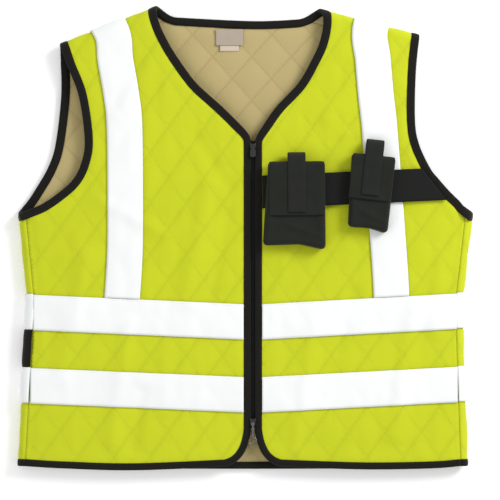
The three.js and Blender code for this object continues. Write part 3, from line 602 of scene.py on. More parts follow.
def bridge(rows, joint, reach):
    """Bends the rows near a corner into one smooth curve, as cloth does where two edges meet."""
    first, last = joint - reach, joint + reach
    t = np.linspace(0, 1, last - first + 1)[:, None, None]
    start, end = rows[first], rows[last]
    pull_in, pull_out = (rows[first] - rows[first - 2]) * reach, (rows[last + 2] - rows[last]) * reach
    bent = start * (2 * t**3 - 3 * t**2 + 1) + pull_in * (t**3 - 2 * t**2 + t)
    bent = bent + end * (3 * t**2 - 2 * t**3) + pull_out * (t**3 - t**2)
    return np.concatenate([rows[:first], bent, rows[last + 1:]])


def ribbon(name, rows, profile, material, closed=False):
    """Skins the rows of a sweep. A closed one runs back into its own start."""
    count, size = rows.shape[:2]
    far, around = distance_along(rows[:, 0]), distance_along(profile)
    uv = np.stack([np.repeat(far, size), np.tile(around, count)], axis=1)
    faces = []
    for i in range(count if closed else count - 1):
        here, after = i * size, (i + 1) % count * size
        for k in range(size):
            up = (k + 1) % size
            faces.append([here + k, after + k, after + up, here + up])
    if not closed:
        faces += [list(range(size)), [(count - 1) * size + k for k in range(size)][::-1]]
    obj = make_mesh(name, rows.reshape(-1, 3), faces, uv, material)
    face_outwards(obj)
    return obj


def strip_faces(rows, columns):
    """Faces of a strip whose top and underside both have rows by columns points, closed at its rim."""
    size = rows * columns
    spots = np.arange(size).reshape(rows, columns)
    corners = [spots[:-1, :-1], spots[1:, :-1], spots[1:, 1:], spots[:-1, 1:]]
    quads = np.stack(corners, axis=-1).reshape(-1, 4)
    rim = np.concatenate([spots[:, 0], spots[-1, 1:], spots[-2::-1, -1], spots[0, -2:0:-1]])
    after = np.roll(rim, -1)
    wall = np.stack([rim, rim + size, after + size, after], axis=1)
    return np.concatenate([quads, quads[:, ::-1] + size, wall])


print("ribbon builder ready")

# %% [markdown]
# ## Cloth finishes
# Every finish starts from the same few nodes: a base colour with slow blotches, a fine pattern
# and a bump. On woven cloth the pattern is two crossing waves on the UV map. A photograph of
# cloth would be quicker, but this keeps its scale in metres and needs no image. The helpers give
# back what they made, so that a finish can add what only it has.

# %% Material helpers
SHEEN_ROUGHNESS = 0.5
CLOTH_SHINE = 0.25
METAL_SHINE = 0.5


def new_material(name, color, roughness, metallic=0.0, sheen=0.0):
    """A plain material. Gives its node tree and shader too, so that more can be added."""
    material = bpy.data.materials.new(name)
    material.use_nodes = True
    tree = material.node_tree
    shader = tree.nodes["Principled BSDF"]
    shader.inputs["Base Color"].default_value = (*color, 1)
    shader.inputs["Roughness"].default_value = roughness
    shader.inputs["Metallic"].default_value = metallic
    shader.inputs["Sheen Weight"].default_value = sheen
    shader.inputs["Sheen Roughness"].default_value = SHEEN_ROUGHNESS
    shader.inputs["Specular IOR Level"].default_value = METAL_SHINE if metallic else CLOTH_SHINE
    return material, tree, shader


def add(tree, kind, inputs=None, **settings):
    """Adds a node. An input may be a number, a colour or another node's output."""
    node = tree.nodes.new(kind)
    for key, value in settings.items():
        setattr(node, key, value)
    for key, value in (inputs or {}).items():
        if isinstance(value, bpy.types.NodeSocket):
            tree.links.new(value, node.inputs[key])
        else:
            node.inputs[key].default_value = value
    return node


def clouds(tree, vector, scale, detail=2.0):
    """Soft random grey patches."""
    inputs = {"Vector": vector, "Scale": scale, "Detail": detail}
    return add(tree, "ShaderNodeTexNoise", inputs).outputs["Fac"]


def calc(tree, operation, a, b=0.0):
    """Arithmetic on numbers or other nodes' outputs."""
    return add(tree, "ShaderNodeMath", {0: a, 1: b}, operation=operation).outputs[0]


def mixed(tree, factor, first, second):
    """Mixes two colours."""
    colors = {"Factor": factor, "A": first, "B": second}
    return add(tree, "ShaderNodeMix", colors, data_type="RGBA").outputs["Result"]


def blotches(tree, shader, color, darker, scale, vector, amount=1.0):
    """Slow changes of colour, as light and wear leave on cloth."""
    share = calc(tree, "MULTIPLY", clouds(tree, vector, scale, detail=3.0), amount)
    result = mixed(tree, share, (*color, 1), (*darker, 1))
    tree.links.new(result, shader.inputs["Base Color"])
    return result


def thread_waves(tree, vector, pitch, direction, distortion=0.0):
    """Even waves along one direction. A wave texture repeats every pi / 10 at scale 1."""
    inputs = {"Vector": vector, "Scale": math.pi / (10 * pitch), "Distortion": distortion}
    return add(tree, "ShaderNodeTexWave", inputs, bands_direction=direction).outputs["Fac"]


def weave(tree, vector, pitch):
    """Two crossing waves: threads one way and threads the other."""
    return calc(tree, "MULTIPLY", *(thread_waves(tree, vector, pitch, way, 0.3) for way in ("X", "Y")))


def bump(tree, shader, height, strength, distance, under=None):
    """Raises the surface by a height. It can lie on top of an earlier bump."""
    node = add(tree, "ShaderNodeBump", {"Height": height, "Strength": strength, "Distance": distance})
    if under is not None:
        tree.links.new(under.outputs["Normal"], node.inputs["Normal"])
    tree.links.new(node.outputs["Normal"], shader.inputs["Normal"])
    return node


print("material helpers ready")

# %% [markdown]
# ### Quilted cloth
# The shell is bright polyester and the lining beige nylon, stitched together in diamonds. The big
# pillows are in the mesh. The finish adds what is too small for it: the puckers that run off
# every stitch line, painted shade in the seams where the creases fall, and the weave. A quilt's
# numbers are its diamond's size, where its two sets of lines start, and how faint and how sharp
# its painted seam shade is.

# %% Quilted finishes
# faint is the share of painted seam shade on the second set of lines; sharp sets how fast that shade fades
# from a line.
SHELL_QUILT = {"wide": 0.051, "high": 0.0715, "slash": 0.9, "back": 0.4, "faint": 0.45, "sharp": -18.0}
LINING_QUILT = {"wide": 0.052, "high": 0.062, "slash": 0.55, "back": 0.4, "faint": 0.9, "sharp": -42.0}
PUCKER_FADE = -9.0
PUCKER_BEAT = 44.0
PUCKER_WANDER = 26.0
# The greatest share of painted shade in the seams.
SEAM_SHADE_STRENGTH = 0.35
QUILT_WEAVE = 0.0006


def quilt_coordinates(flat, quilt):
    """Places counted in diamonds: whole numbers lie on the stitch lines of each direction."""
    x, y = flat[:, 0] / quilt["wide"], flat[:, 1] / quilt["high"]
    return x - y - quilt["slash"], x + y - quilt["back"]


def quilted_material(name, color, darker, seam, quilt, roughness, sheen):
    material, tree, shader = new_material(name, color, roughness, sheen=sheen)
    place = add(tree, "ShaderNodeTexCoord")
    flat = add(tree, "ShaderNodeSeparateXYZ", {0: place.outputs["UV"]})
    x = calc(tree, "DIVIDE", flat.outputs["X"], quilt["wide"])
    y = calc(tree, "DIVIDE", flat.outputs["Y"], quilt["high"])
    slash = calc(tree, "SUBTRACT", calc(tree, "SUBTRACT", x, y), quilt["slash"])
    back = calc(tree, "SUBTRACT", calc(tree, "ADD", x, y), quilt["back"])
    wander = calc(tree, "MULTIPLY", clouds(tree, place.outputs["Object"], scale=60.0), PUCKER_WANDER)
    heights, lines = [], []
    # Each set of lines gets puckers and painted shade near its stitch line; the second set gets the quilt's
    # faint share of that shade.
    for across, along, shade in ((slash, back, 1.0), (back, slash, quilt["faint"])):
        away = calc(tree, "ABSOLUTE", calc(tree, "SUBTRACT", across, calc(tree, "ROUND", across)))
        near = calc(tree, "EXPONENT", calc(tree, "MULTIPLY", away, PUCKER_FADE))
        beat = calc(tree, "ADD", calc(tree, "MULTIPLY", along, PUCKER_BEAT), wander)
        heights.append(calc(tree, "MULTIPLY", calc(tree, "SINE", beat), near))
        stitched = calc(tree, "EXPONENT", calc(tree, "MULTIPLY", away, quilt["sharp"]))
        lines.append(calc(tree, "MULTIPLY", stitched, shade))
    base = blotches(tree, shader, color, darker, 9.0, place.outputs["Object"], amount=0.8)
    # The seam colour is painted shade, mixed in near the stitch lines where the creases lie in shadow.
    line = calc(tree, "MULTIPLY", calc(tree, "MAXIMUM", *lines), SEAM_SHADE_STRENGTH)
    tree.links.new(mixed(tree, line, base, (*seam, 1)), shader.inputs["Base Color"])
    pucker = bump(tree, shader, calc(tree, "ADD", *heights), strength=0.15, distance=0.0006)
    threads = weave(tree, place.outputs["UV"], QUILT_WEAVE)
    bump(tree, shader, threads, strength=0.12, distance=0.0002, under=pucker)
    return material


# Each quilt's seam colour is painted shade for the creases along its stitch lines.
LIME = quilted_material(
    "lime quilt", (0.55, 0.605, 0.0115), (0.465, 0.525, 0.0095), seam=(0.36, 0.42, 0.0075),
    quilt=SHELL_QUILT, roughness=0.8, sheen=0.04,
)
BEIGE = quilted_material(
    "beige quilt", (0.455, 0.368, 0.162), (0.41, 0.33, 0.142), seam=(0.22, 0.165, 0.07),
    quilt=LINING_QUILT, roughness=0.75, sheen=0.08,
)
print("quilted finishes made")

# %% [markdown]
# ### Black trims
# Binding is ribbed tape, webbing is a coarse weave, and the pouches are dark grey nylon. Each is
# the same recipe with its own colour and thread pitch. The two labels are woven cloth as well.

# %% Woven finishes
def woven_material(name, color, darker, pitch, depth, roughness=0.8, ribbed=False):
    material, tree, shader = new_material(name, color, roughness, sheen=0.05)
    place = add(tree, "ShaderNodeTexCoord")
    blotches(tree, shader, color, darker, 40.0, place.outputs["Object"])
    if ribbed:
        height = thread_waves(tree, place.outputs["UV"], pitch, "X")
    else:
        height = weave(tree, place.outputs["UV"], pitch)
    bump(tree, shader, height, strength=0.5, distance=depth)
    return material


BLACK = woven_material(
    "black binding", (0.0045, 0.0037, 0.0016), (0.003, 0.0025, 0.0012),
    pitch=0.0016, depth=0.0004, roughness=0.85, ribbed=True,
)
WEBBING = woven_material(
    "black webbing", (0.0045, 0.0055, 0.004), (0.003, 0.0035, 0.003), pitch=0.0018, depth=0.0005
)
STRAP_CLOTH = woven_material(
    "strap webbing", (0.0115, 0.013, 0.0095), (0.007, 0.008, 0.006), pitch=0.0016, depth=0.0005
)
POUCH_CLOTH = woven_material(
    "charcoal nylon", (0.010, 0.012, 0.0075), (0.0065, 0.0075, 0.005), pitch=0.0011, depth=0.0003
)
ZIP_CLOTH = woven_material(
    "zip tape cloth", (0.024, 0.024, 0.019), (0.014, 0.014, 0.011),
    pitch=0.0009, depth=0.0002, roughness=0.85,
)
LABEL_DARK = woven_material(
    "grey-brown label", (0.42, 0.35, 0.285), (0.36, 0.30, 0.24), pitch=0.0007, depth=0.0001, roughness=0.75
)
LABEL_PALE = woven_material(
    "cream label", (0.60, 0.505, 0.40), (0.53, 0.44, 0.34), pitch=0.0007, depth=0.0001, roughness=0.7
)
print("woven finishes made")

# %% [markdown]
# ### Reflective tape, metal and thread
# The tape is silver-white glass bead cloth. It looks flat white in even light. A very fine
# pebble bump and a slight grey blotch keep it from looking like paper. The zip's metal, its
# nylon coil and the thread are small enough for the same recipe.

# %% Pebbled finishes
def pebbled_material(name, color, darker, scale, roughness, depth=0.00005, metallic=0.0):
    material, tree, shader = new_material(name, color, roughness, metallic)
    place = add(tree, "ShaderNodeTexCoord")
    blotches(tree, shader, color, darker, 14.0, place.outputs["Object"])
    bump(tree, shader, clouds(tree, place.outputs["Object"], scale), strength=0.3, distance=depth)
    return material


REFLECTIVE = pebbled_material(
    "reflective tape", (0.84, 0.86, 0.855), (0.79, 0.81, 0.80), scale=1500.0, roughness=0.5, depth=0.0001
)
METAL = pebbled_material(
    "zip metal", (0.24, 0.24, 0.235), (0.13, 0.13, 0.125), scale=900.0, roughness=0.28, metallic=1.0
)
DARK_METAL = pebbled_material(
    "dark metal", (0.07, 0.07, 0.066), (0.045, 0.045, 0.043), scale=900.0, roughness=0.3, metallic=1.0
)
COIL = pebbled_material("zip coil", (0.02, 0.02, 0.02), (0.014, 0.014, 0.014), scale=700.0, roughness=0.4)
DARK_PULL = pebbled_material("dark pull", (0.02, 0.02, 0.02), (0.03, 0.03, 0.03), scale=600.0, roughness=0.45)
THREAD_LIME = pebbled_material(
    "lime thread", (0.60, 0.66, 0.03), (0.54, 0.60, 0.025), scale=900.0, roughness=0.6
)
THREAD_BLACK = pebbled_material(
    "black thread", (0.03, 0.03, 0.028), (0.02, 0.02, 0.02), scale=900.0, roughness=0.6
)
THREAD_WHITE = pebbled_material(
    "white thread", (0.8, 0.81, 0.8), (0.7, 0.71, 0.7), scale=900.0, roughness=0.6
)
print("finishes:", len(bpy.data.materials))

# %% [markdown]
# ## Where tape presses the quilting
# Tape that is sewn on flattens the pillows under it. These helpers say how far a flat place is
# from the nearest tape, on the front and on the back.

# %% Tape lines
BACK_TAPE_FOOT = 0.37


def band_top(side, band, x):
    """The height of a band's upper edge, which slopes a little from the side fold to the zip."""
    side_high, zip_high = side[band]
    start = ZIP_OPENING + NARROW_BINDING + GAP
    share = (np.abs(x) - start) / (side["half"] - start)
    return (zip_high + (side_high - zip_high) * share) * BODY_LENGTH


def tape_path(side):
    """The middle line of a shoulder tape, from the upper band to behind the shoulder fold."""
    rising = [spot(side, row) for row in side["tape"]][::-1]
    top = rising[-1]
    behind = unfold_front(side, np.array((top[0], top[1] - TAPE_WIDTH)))
    return evenly(spline([*rising, behind], 80), STEP)


TAPE_PATHS = {side["name"]: tape_path(side) for side in SIDES}


def past_tape(panel, flat):
    """Distance outside the nearest tape. It is negative under a tape."""
    x, y = flat[:, 0], flat[:, 1]
    away = np.full(len(flat), 1.0)
    for band in ("upper", "lower"):
        if panel == "back":
            top = np.where(x < 0, RIGHT[band][0], LEFT[band][0]) * BODY_LENGTH
        else:
            top = band_top(RIGHT if panel == "right" else LEFT, band, x)
        away = np.minimum(away, np.abs(y - top + TAPE_WIDTH / 2) - TAPE_WIDTH / 2)
    for side in SIDES:
        if panel == "back":
            centre = side["sign"] * side["tape"][0][1] * side["half"]
            beside = np.maximum(np.abs(x - centre) - TAPE_WIDTH / 2, BACK_TAPE_FOOT * BODY_LENGTH - y)
            away = np.minimum(away, beside)
        elif panel == side["name"]:
            away = np.minimum(away, distance_to(flat, TAPE_PATHS[panel][::4]) - TAPE_WIDTH / 2)
    return away


tape_lengths = [round(float(distance_along(path)[-1]), 3) for path in TAPE_PATHS.values()]
print("shoulder tapes:", tape_lengths, "m long")

# %% [markdown]
# ## The quilted panels
# A quilt swells between its stitch lines. The mesh is laid out on the diamonds themselves, so a
# row of vertices lies on every stitch line and the creases stay crisp. The pillows could be a
# bump map or a displacement, but real cloth also gathers along the thread. So on the two fronts
# a short cloth simulation blows the flat panel up while its stitch lines are held, and the panel
# takes a share of that shape. The back lies underneath, so it has the plain pillows alone.

# %% Diamonds and pillows
RIM_GAP = 0.0018
PILLOW_DEPTHS = (0.85, 0.6)
PILLOW_POWER = 2.4


def quilt_places(s, t, quilt):
    """Flat places of lattice coordinates: quilt_coordinates the other way round."""
    across = s + t + quilt["slash"] + quilt["back"]
    rise = t - s + quilt["back"] - quilt["slash"]
    return np.stack([across * quilt["wide"] / 2, rise * quilt["high"] / 2], axis=1)


def quilt_spans(outline, quilt):
    """The first and last whole line of each direction that an outline can meet."""
    low, high = outline.min(axis=0), outline.max(axis=0)
    corners = np.array([(low[0], low[1]), (low[0], high[1]), (high[0], low[1]), (high[0], high[1])])
    return [(math.floor(v.min()), math.ceil(v.max())) for v in quilt_coordinates(corners, quilt)]


def diamond_grid(outline, quilt, rows):
    """The lattice points inside an outline, with a number of rows to each diamond."""
    steps = [np.arange(first * rows, last * rows + 1) / rows for first, last in quilt_spans(outline, quilt)]
    s, t = (grid.ravel() for grid in np.meshgrid(*steps, indexing="ij"))
    flat = quilt_places(s, t, quilt)
    flat = flat[((flat >= outline.min(axis=0)) & (flat <= outline.max(axis=0))).all(axis=1)]
    flat = flat[inside(flat, outline)]
    return flat[distance_to(flat, outline[::2], closed=True) > RIM_GAP]


def pillow(flat, quilt):
    """0 on the stitch lines and 1 in the middle of a diamond, deeper along the rising lines."""
    heights = []
    for value, depth in zip(quilt_coordinates(flat, quilt), PILLOW_DEPTHS):
        share = value - np.floor(value)
        heights.append(1 - depth * np.abs(2 * share - 1) ** PILLOW_POWER)
    return heights[0] * heights[1]


print("a diamond is", SHELL_QUILT["wide"], "by", SHELL_QUILT["high"], "m")

# %% Swelling by simulation
SIM_FRAMES = 14


def swell(name, flat, triangles, held):
    """Blows a flat sheet up with a cloth simulation. Held vertices stay where they are."""
    mesh = bpy.data.meshes.new(name)
    mesh.from_pydata([(x, y, 0) for x, y in flat], [], triangles.tolist())
    obj = new_object(name, mesh)
    group = obj.vertex_groups.new(name="held")
    group.add(np.nonzero(held)[0].tolist(), 1.0, "REPLACE")
    cloth = obj.modifiers.new("swell", "CLOTH")
    settings = cloth.settings
    settings.vertex_group_mass = "held"
    settings.quality = 4
    settings.mass = 0.15
    settings.tension_stiffness = settings.compression_stiffness = 20
    settings.shear_stiffness = 8
    settings.bending_stiffness = 0.4
    settings.shrink_min = settings.shrink_max = -0.035
    settings.use_pressure = True
    settings.uniform_pressure_force = 3.0
    settings.effector_weights.gravity = 0
    cloth.point_cache.frame_start = 1
    cloth.point_cache.frame_end = SIM_FRAMES
    scene = bpy.context.scene
    for number in range(1, SIM_FRAMES + 1):
        scene.frame_set(number)
    result = obj.evaluated_get(bpy.context.evaluated_depsgraph_get()).to_mesh()
    moved = np.zeros(len(flat) * 3)
    result.vertices.foreach_get("co", moved)
    scene.frame_set(1)
    bpy.data.objects.remove(obj)
    return moved.reshape(-1, 3)


print("swelling runs for", SIM_FRAMES, "frames")

# %% Quilted panels
ROWS_PER_DIAMOND = 13
PILLOW_SHARE = 0.7
SWELL_SHARE = 0.3
SWELL_LIMITS = (-0.001, 0.006)
HELD_RIM = 0.01
ON_A_LINE = 1e-4
RIM_CALM = (0.006, 0.017)
TAPE_CALM = (-0.002, 0.006)
PRESSED = 0.25


def quilted_panel(panel, simulate):
    outline = OUTLINES[panel]
    flat, triangles, rim = triangulate(outline, diamond_grid(outline, SHELL_QUILT, ROWS_PER_DIAMOND))
    to_rim = distance_to(flat, outline[::2], closed=True)
    free = blend_in(to_rim, *RIM_CALM)
    press = PRESSED + (1 - PRESSED) * blend_in(past_tape(panel, flat), *TAPE_CALM)
    height = PUFF * pillow(flat, SHELL_QUILT) * free * press
    if simulate:
        away = [np.abs(value - np.round(value)) for value in quilt_coordinates(flat, SHELL_QUILT)]
        stitched = np.minimum(*away) < ON_A_LINE
        moved = swell(panel, flat, triangles, stitched | (to_rim < HELD_RIM))
        rise = np.clip(moved[:, 2], *SWELL_LIMITS)
        print(panel, "swelled by up to", round(float(rise.max()) * 1000, 1), "mm")
        height = height * PILLOW_SHARE + rise * free * press * SWELL_SHARE
    level = SHELL + height
    mirrored = panel == "back"
    name = "shell_back" if mirrored else f"shell_front_{panel}"
    node = "back_shell" if mirrored else f"front_shell_{panel}"
    obj = sheet(name, flat, triangles, rim, level, level - SHELL, PLACES[panel], LIME, mirrored)
    stands_for(obj, node, slot="quilted_shell")
    return obj


for panel in OUTLINES:
    piece = quilted_panel(panel, simulate=panel != "back")
    print(piece.name, len(piece.data.polygons), "faces")

# %% [markdown]
# ## The lining
# The lining shows inside the neck and armholes. It is the same quilt seen from its other side.
# The back lining's pillows swell towards the wearer, and the front linings are drawn flat.

# %% Lining panels
LINING_ROWS = 9
LINING_PUFF = 0.0022
LINING_CALM = (0.008, 0.02)


def lining_level(flat, outline):
    """The lining's pillows hang down, and flatten towards the binding."""
    to_rim = distance_to(flat, outline[::2], closed=True)
    free = blend_in(to_rim, *LINING_CALM)
    return LINING_LOW - LINING_PUFF * pillow(flat, LINING_QUILT) * free


for panel, outline in OUTLINES.items():
    flat, triangles, rim = triangulate(outline, diamond_grid(outline, LINING_QUILT, LINING_ROWS))
    mirrored = panel == "back"
    under = lining_level(flat, outline) if mirrored else np.full(len(flat), LINING_LOW)
    top = np.full(len(flat), -GAP)
    name = "lining_back" if mirrored else f"lining_front_{panel}"
    node = "back_lining" if mirrored else f"front_lining_{panel}"
    obj = sheet(name, flat, triangles, rim, top, under, PLACES[panel], BEIGE, mirrored)
    stands_for(obj, node, slot="quilted_lining")
print("lining made")

# %% [markdown]
# ## Binding
# Binding is one tape folded in half over the raw edge, so its section is a flat U. The U is swept
# along the edge. Where it runs round both panels, as at an armhole, two sweeps make one piece.

# %% Binding section
BINDING_CROWN = 0.0004
BINDING_EDGE = 0.0003
BINDING_BEVEL = 0.001
PUCKER_HEIGHT = 0.00018
PUCKER_LENGTHS = (0.021, 0.0137)


def binding_profile(width):
    """A flat U with a rounded turn and a slot for the cloth."""
    out, turn = 2 * GAP + BINDING, (BINDING_TOP - BINDING_LOW) / 2
    middle = (BINDING_TOP + BINDING_LOW) / 2
    outer = [
        (width, BINDING_TOP - BINDING_EDGE), (width - BINDING_BEVEL, BINDING_TOP),
        (width / 2, BINDING_TOP + BINDING_CROWN),
    ]
    for angle in np.linspace(90, 270, 9):
        bend = math.radians(angle)
        outer.append((-out + turn * 0.5 + turn * 0.5 * math.cos(bend), middle + turn * math.sin(bend)))
    outer += [(width / 2, BINDING_LOW), (width, BINDING_LOW), (width, BINDING_LOW + BINDING)]
    slot = [(-GAP, BINDING_LOW + BINDING), (-GAP, BINDING_TOP - BINDING), (width, BINDING_TOP - BINDING)]
    return np.array(outer + slot)


def pucker(far, level):
    """Thread tension makes the binding's upper face rise and fall a little."""
    long, short = (far * 2 * math.pi / length for length in PUCKER_LENGTHS)
    beat = np.sin(long) + 0.6 * np.sin(short + 1)
    return PUCKER_HEIGHT * beat * (1 if level > 0 else 0)


print("binding points:", len(binding_profile(WIDE_BINDING)))

# %% Binding
CORNER_REACH = 3
ZIP_ROWS = 5


def lower_edge(front):
    """The front's edge from below the neck binding down the zip, round the corner and along the hem."""
    return np.concatenate([front["zip"][ZIP_ROWS:-1], front["corner"][:-1], front["hem"]])


neck_rows = {}
for side in SIDES:
    name, sign = side["name"], side["sign"]
    front, back = FRONT_EDGES[name], BACK_EDGES[name]
    wide, narrow = binding_profile(WIDE_BINDING), binding_profile(NARROW_BINDING)
    fore = sweep(front["arm"], wide, PLACES[name], sign, pucker)
    rear = sweep(back["arm"], wide, back_rule, sign, pucker)[::-1]
    loop = np.concatenate([fore[:-1], rear[:-1]])
    loop = bridge(loop, len(fore) - 1, CORNER_REACH)
    half = len(loop) // 2
    loop = bridge(np.roll(loop, half, axis=0), half, CORNER_REACH)
    obj = ribbon(f"binding_armhole_{name}", loop, wide, BLACK, closed=True)
    stands_for(obj, f"armhole_binding_{name}", slot="binding")
    edge = lower_edge(front)
    # Its end lies a hair below the end of the neck binding, so their end faces never coincide
    edge[0, 1] -= GAP / 4
    obj = ribbon(f"binding_edge_{name}", sweep(edge, narrow, PLACES[name], sign, pucker), narrow, BLACK)
    stands_for(obj, f"edge_binding_{name}", slot="binding")
    down = np.concatenate([front["neck"], front["zip"][1:ZIP_ROWS + 1]])
    ends = (len(down) - 3 * ZIP_ROWS, len(down) - ZIP_ROWS)
    taper = np.interp(np.arange(len(down)), ends, (1, NARROW_BINDING / WIDE_BINDING))
    rows = sweep(down, wide, PLACES[name], sign, pucker, taper)
    neck_rows[name] = bridge(rows, len(front["neck"]) - 1, CORNER_REACH)
behind = sweep(BACK_NECK, wide, back_rule, 1, pucker)
rows = np.concatenate([neck_rows["left"][::-1][:-1], behind, neck_rows["right"][1:]])
left_joint = len(neck_rows["left"]) - 1
for joint in (left_joint, left_joint + len(behind) - 1):
    rows = bridge(rows, joint, CORNER_REACH)
stands_for(ribbon("binding_neck", rows, wide, BLACK), "neck_binding", slot="binding")
rows = sweep(BACK_HEM, narrow, back_rule, 1, pucker)
stands_for(ribbon("binding_hem", rows, narrow, BLACK), "hem_binding_back", slot="binding")
print("binding made:", [name for name in pieces if name.startswith("binding")])

# %% [markdown]
# ## Reflective tape
# Tape is a strip between two edges that are drawn on the flat cloth. Its own stitches hold the
# edges down, so it stands a little higher in the middle, and the quilting below shows through it
# as faint ripples. A plane with a solidify modifier would be stiffer and flatter than real tape.

# %% Strips between two edges
TAPE_CROWN = 0.0009
TAPE_RIPPLE = 0.0008
TAPE_CRUMPLE = 0.0003
TAPE_CRUMPLE_LENGTH = 0.018
RIPPLE_AT_EDGE = 0.35


def strip(name, edge_a, edge_b, rows, level_at, thick, place, material):
    """A closed strip between two edges with the same number of points. A function of the flat
    places, and of their share of the way across, gives the level of its upper face."""
    count = len(edge_a)
    share = np.linspace(0, 1, rows)
    flat = edge_a[:, None] * (1 - share)[None, :, None] + edge_b[:, None] * share[None, :, None]
    flat = flat.reshape(-1, 2)
    top = level_at(flat, np.tile(share, count))
    verts = np.concatenate([place(flat[:, 0], flat[:, 1], level) for level in (top, top - thick)])
    wide = np.linalg.norm(edge_a - edge_b, axis=1)
    uv = np.stack([np.repeat(distance_along(edge_a), rows), (wide[:, None] * share).ravel()], axis=1)
    obj = make_mesh(name, verts, strip_faces(count, rows), np.concatenate([uv, uv]), material)
    face_outwards(obj)
    return obj


def cut_at(path, line_a, line_b):
    """Keeps the start of a path, up to where it crosses a line."""
    line = line_b - line_a
    height = (path[:, 0] - line_a[0]) * line[1] - (path[:, 1] - line_a[1]) * line[0]
    past = np.nonzero(height * height[0] < 0)[0]
    if len(past) == 0:
        return path
    last = past[0]
    share = height[last - 1] / (height[last - 1] - height[last])
    meeting = path[last - 1] + (path[last] - path[last - 1]) * share
    return np.concatenate([path[:last], [meeting]])


def tape_level(flat, across):
    """The tape's upper face: a crown, ripples from the quilting below, and a fine crumple."""
    crown = 1 - np.abs(2 * across - 1) ** 4
    ripple = (pillow(flat, SHELL_QUILT) - 0.5) * TAPE_RIPPLE
    crumple = TAPE_CRUMPLE * waves(flat[:, 0], flat[:, 1], TAPE_CRUMPLE_LENGTH, seed=8.1)
    loose = RIPPLE_AT_EDGE + (1 - RIPPLE_AT_EDGE) * crown
    return TAPE_TOP - TAPE_CROWN + TAPE_CROWN * crown + (ripple + crumple) * loose


print("strip builder ready")

# %% [markdown]
# ### Where the tape runs
# Each front has an upper and a lower band and one tape over the shoulder. The two back bands run
# round both side folds to the side seams. A front tape starts at the upper band and is cut off
# at the seam behind the shoulder, where the back tape takes over. Beside each edge runs a row of
# stitches, so the line of that row is noted here for later.

# %% Reflective bands and tapes
TAPE_ROWS = 15
TAPE_COUNT = 110
SEAM_SHARE = 0.05
BAND_OVERLAP = 0.0002
BACK_TAPE_REACH = 0.45
seam_rows = []


def tape_piece(name, node, panel, edge_a, edge_b):
    obj = strip(name, edge_a, edge_b, TAPE_ROWS, tape_level, TAPE, PLACES[panel], REFLECTIVE)
    stands_for(obj, node, slot="reflective_tape")
    for near, far in ((edge_a, edge_b), (edge_b, edge_a)):
        seam_rows.append((panel, near * (1 - SEAM_SHARE) + far * SEAM_SHARE))


for side in SIDES:
    name, sign = side["name"], side["sign"]
    for band in ("upper", "lower"):
        fold_x = float(half_width(side, np.array(side[band][0] * BODY_LENGTH)))
        ends = (ZIP_OPENING + NARROW_BINDING + GAP, fold_x - SEAM_INSET + BAND_OVERLAP)
        reach = np.linspace(*ends, TAPE_COUNT)
        top = np.stack([sign * reach, band_top(side, band, reach)], axis=1)
        tape_piece(f"band_{band}_{name}", f"{band}_band_{name}", name, top, top - (0, TAPE_WIDTH))
    path, rear = TAPE_PATHS[name], FRONT_EDGES[name]["rear"]
    edges = []
    for half in (TAPE_WIDTH / 2, -TAPE_WIDTH / 2):
        edge = cut_at(path + sideways(path) * half, rear[0], rear[-1])
        foot_y = band_top(side, "upper", edge[:, 0]) + GAP
        above = edge[:, 1] > foot_y
        first = int(np.argmax(above))
        foot = np.array((edge[first][0], foot_y[first]))
        edges.append(share_points(np.concatenate([[foot], edge[first:]]), TAPE_COUNT))
    tape_piece(f"tape_front_{name}", f"shoulder_tape_{name}", name, *edges)
    centre = sign * side["tape"][0][1] * side["half"]
    back_rear = BACK_EDGES[name]["rear"]
    foot_y = max(each["upper"][0] for each in SIDES) * BODY_LENGTH + GAP
    edges = []
    for half in (TAPE_WIDTH / 2, -TAPE_WIDTH / 2):
        line = np.array([(centre + half, foot_y + step) for step in np.arange(0, BACK_TAPE_REACH, STEP)])
        edges.append(share_points(cut_at(line, back_rear[0], back_rear[-1]), TAPE_COUNT))
    tape_piece(f"tape_back_{name}", f"back_tape_{name}", "back", *edges)

for band in ("upper", "lower"):
    reach = np.linspace(-back_edge(RIGHT), back_edge(LEFT), 3 * TAPE_COUNT)
    heights = np.interp(reach, [-back_flat(RIGHT), back_flat(LEFT)], [RIGHT[band][0], LEFT[band][0]])
    top = np.stack([reach, heights * BODY_LENGTH], axis=1)
    tape_piece(f"band_{band}_back", f"{band}_band_back", "back", top, top - (0, TAPE_WIDTH))
print("tape pieces:", len([name for name in pieces if "tape" in name or "band_" in name]))

# %% [markdown]
# ### Side tab
# A short black tab shows at the wearer's right side fold, between the two bands. It lies on the
# back and goes round the fold with it, so the back's rule bends it too.

# %% Side tab
TAB_COUNT = 24
tab_reach = np.linspace(-back_edge(RIGHT), -back_flat(RIGHT), TAB_COUNT)
tab_heights = (RIGHT["upper"][0] * BODY_LENGTH - TAPE_WIDTH - GAP, RIGHT["lower"][0] * BODY_LENGTH + GAP)
tab_edges = [np.stack([tab_reach, np.full(TAB_COUNT, high)], axis=1) for high in tab_heights]
tab = strip("tab", *tab_edges, TAPE_ROWS, tape_level, TAPE, back_rule, BLACK)
stands_for(tab, "side_tab", slot="binding")
print("side tab made")

# %% [markdown]
# ## Chest band
# One piece of wide webbing crosses the wearer's left front, under the pouches. It is sewn at the
# zip and follows the armhole at its other end. It rises between them to clear the pouch straps.

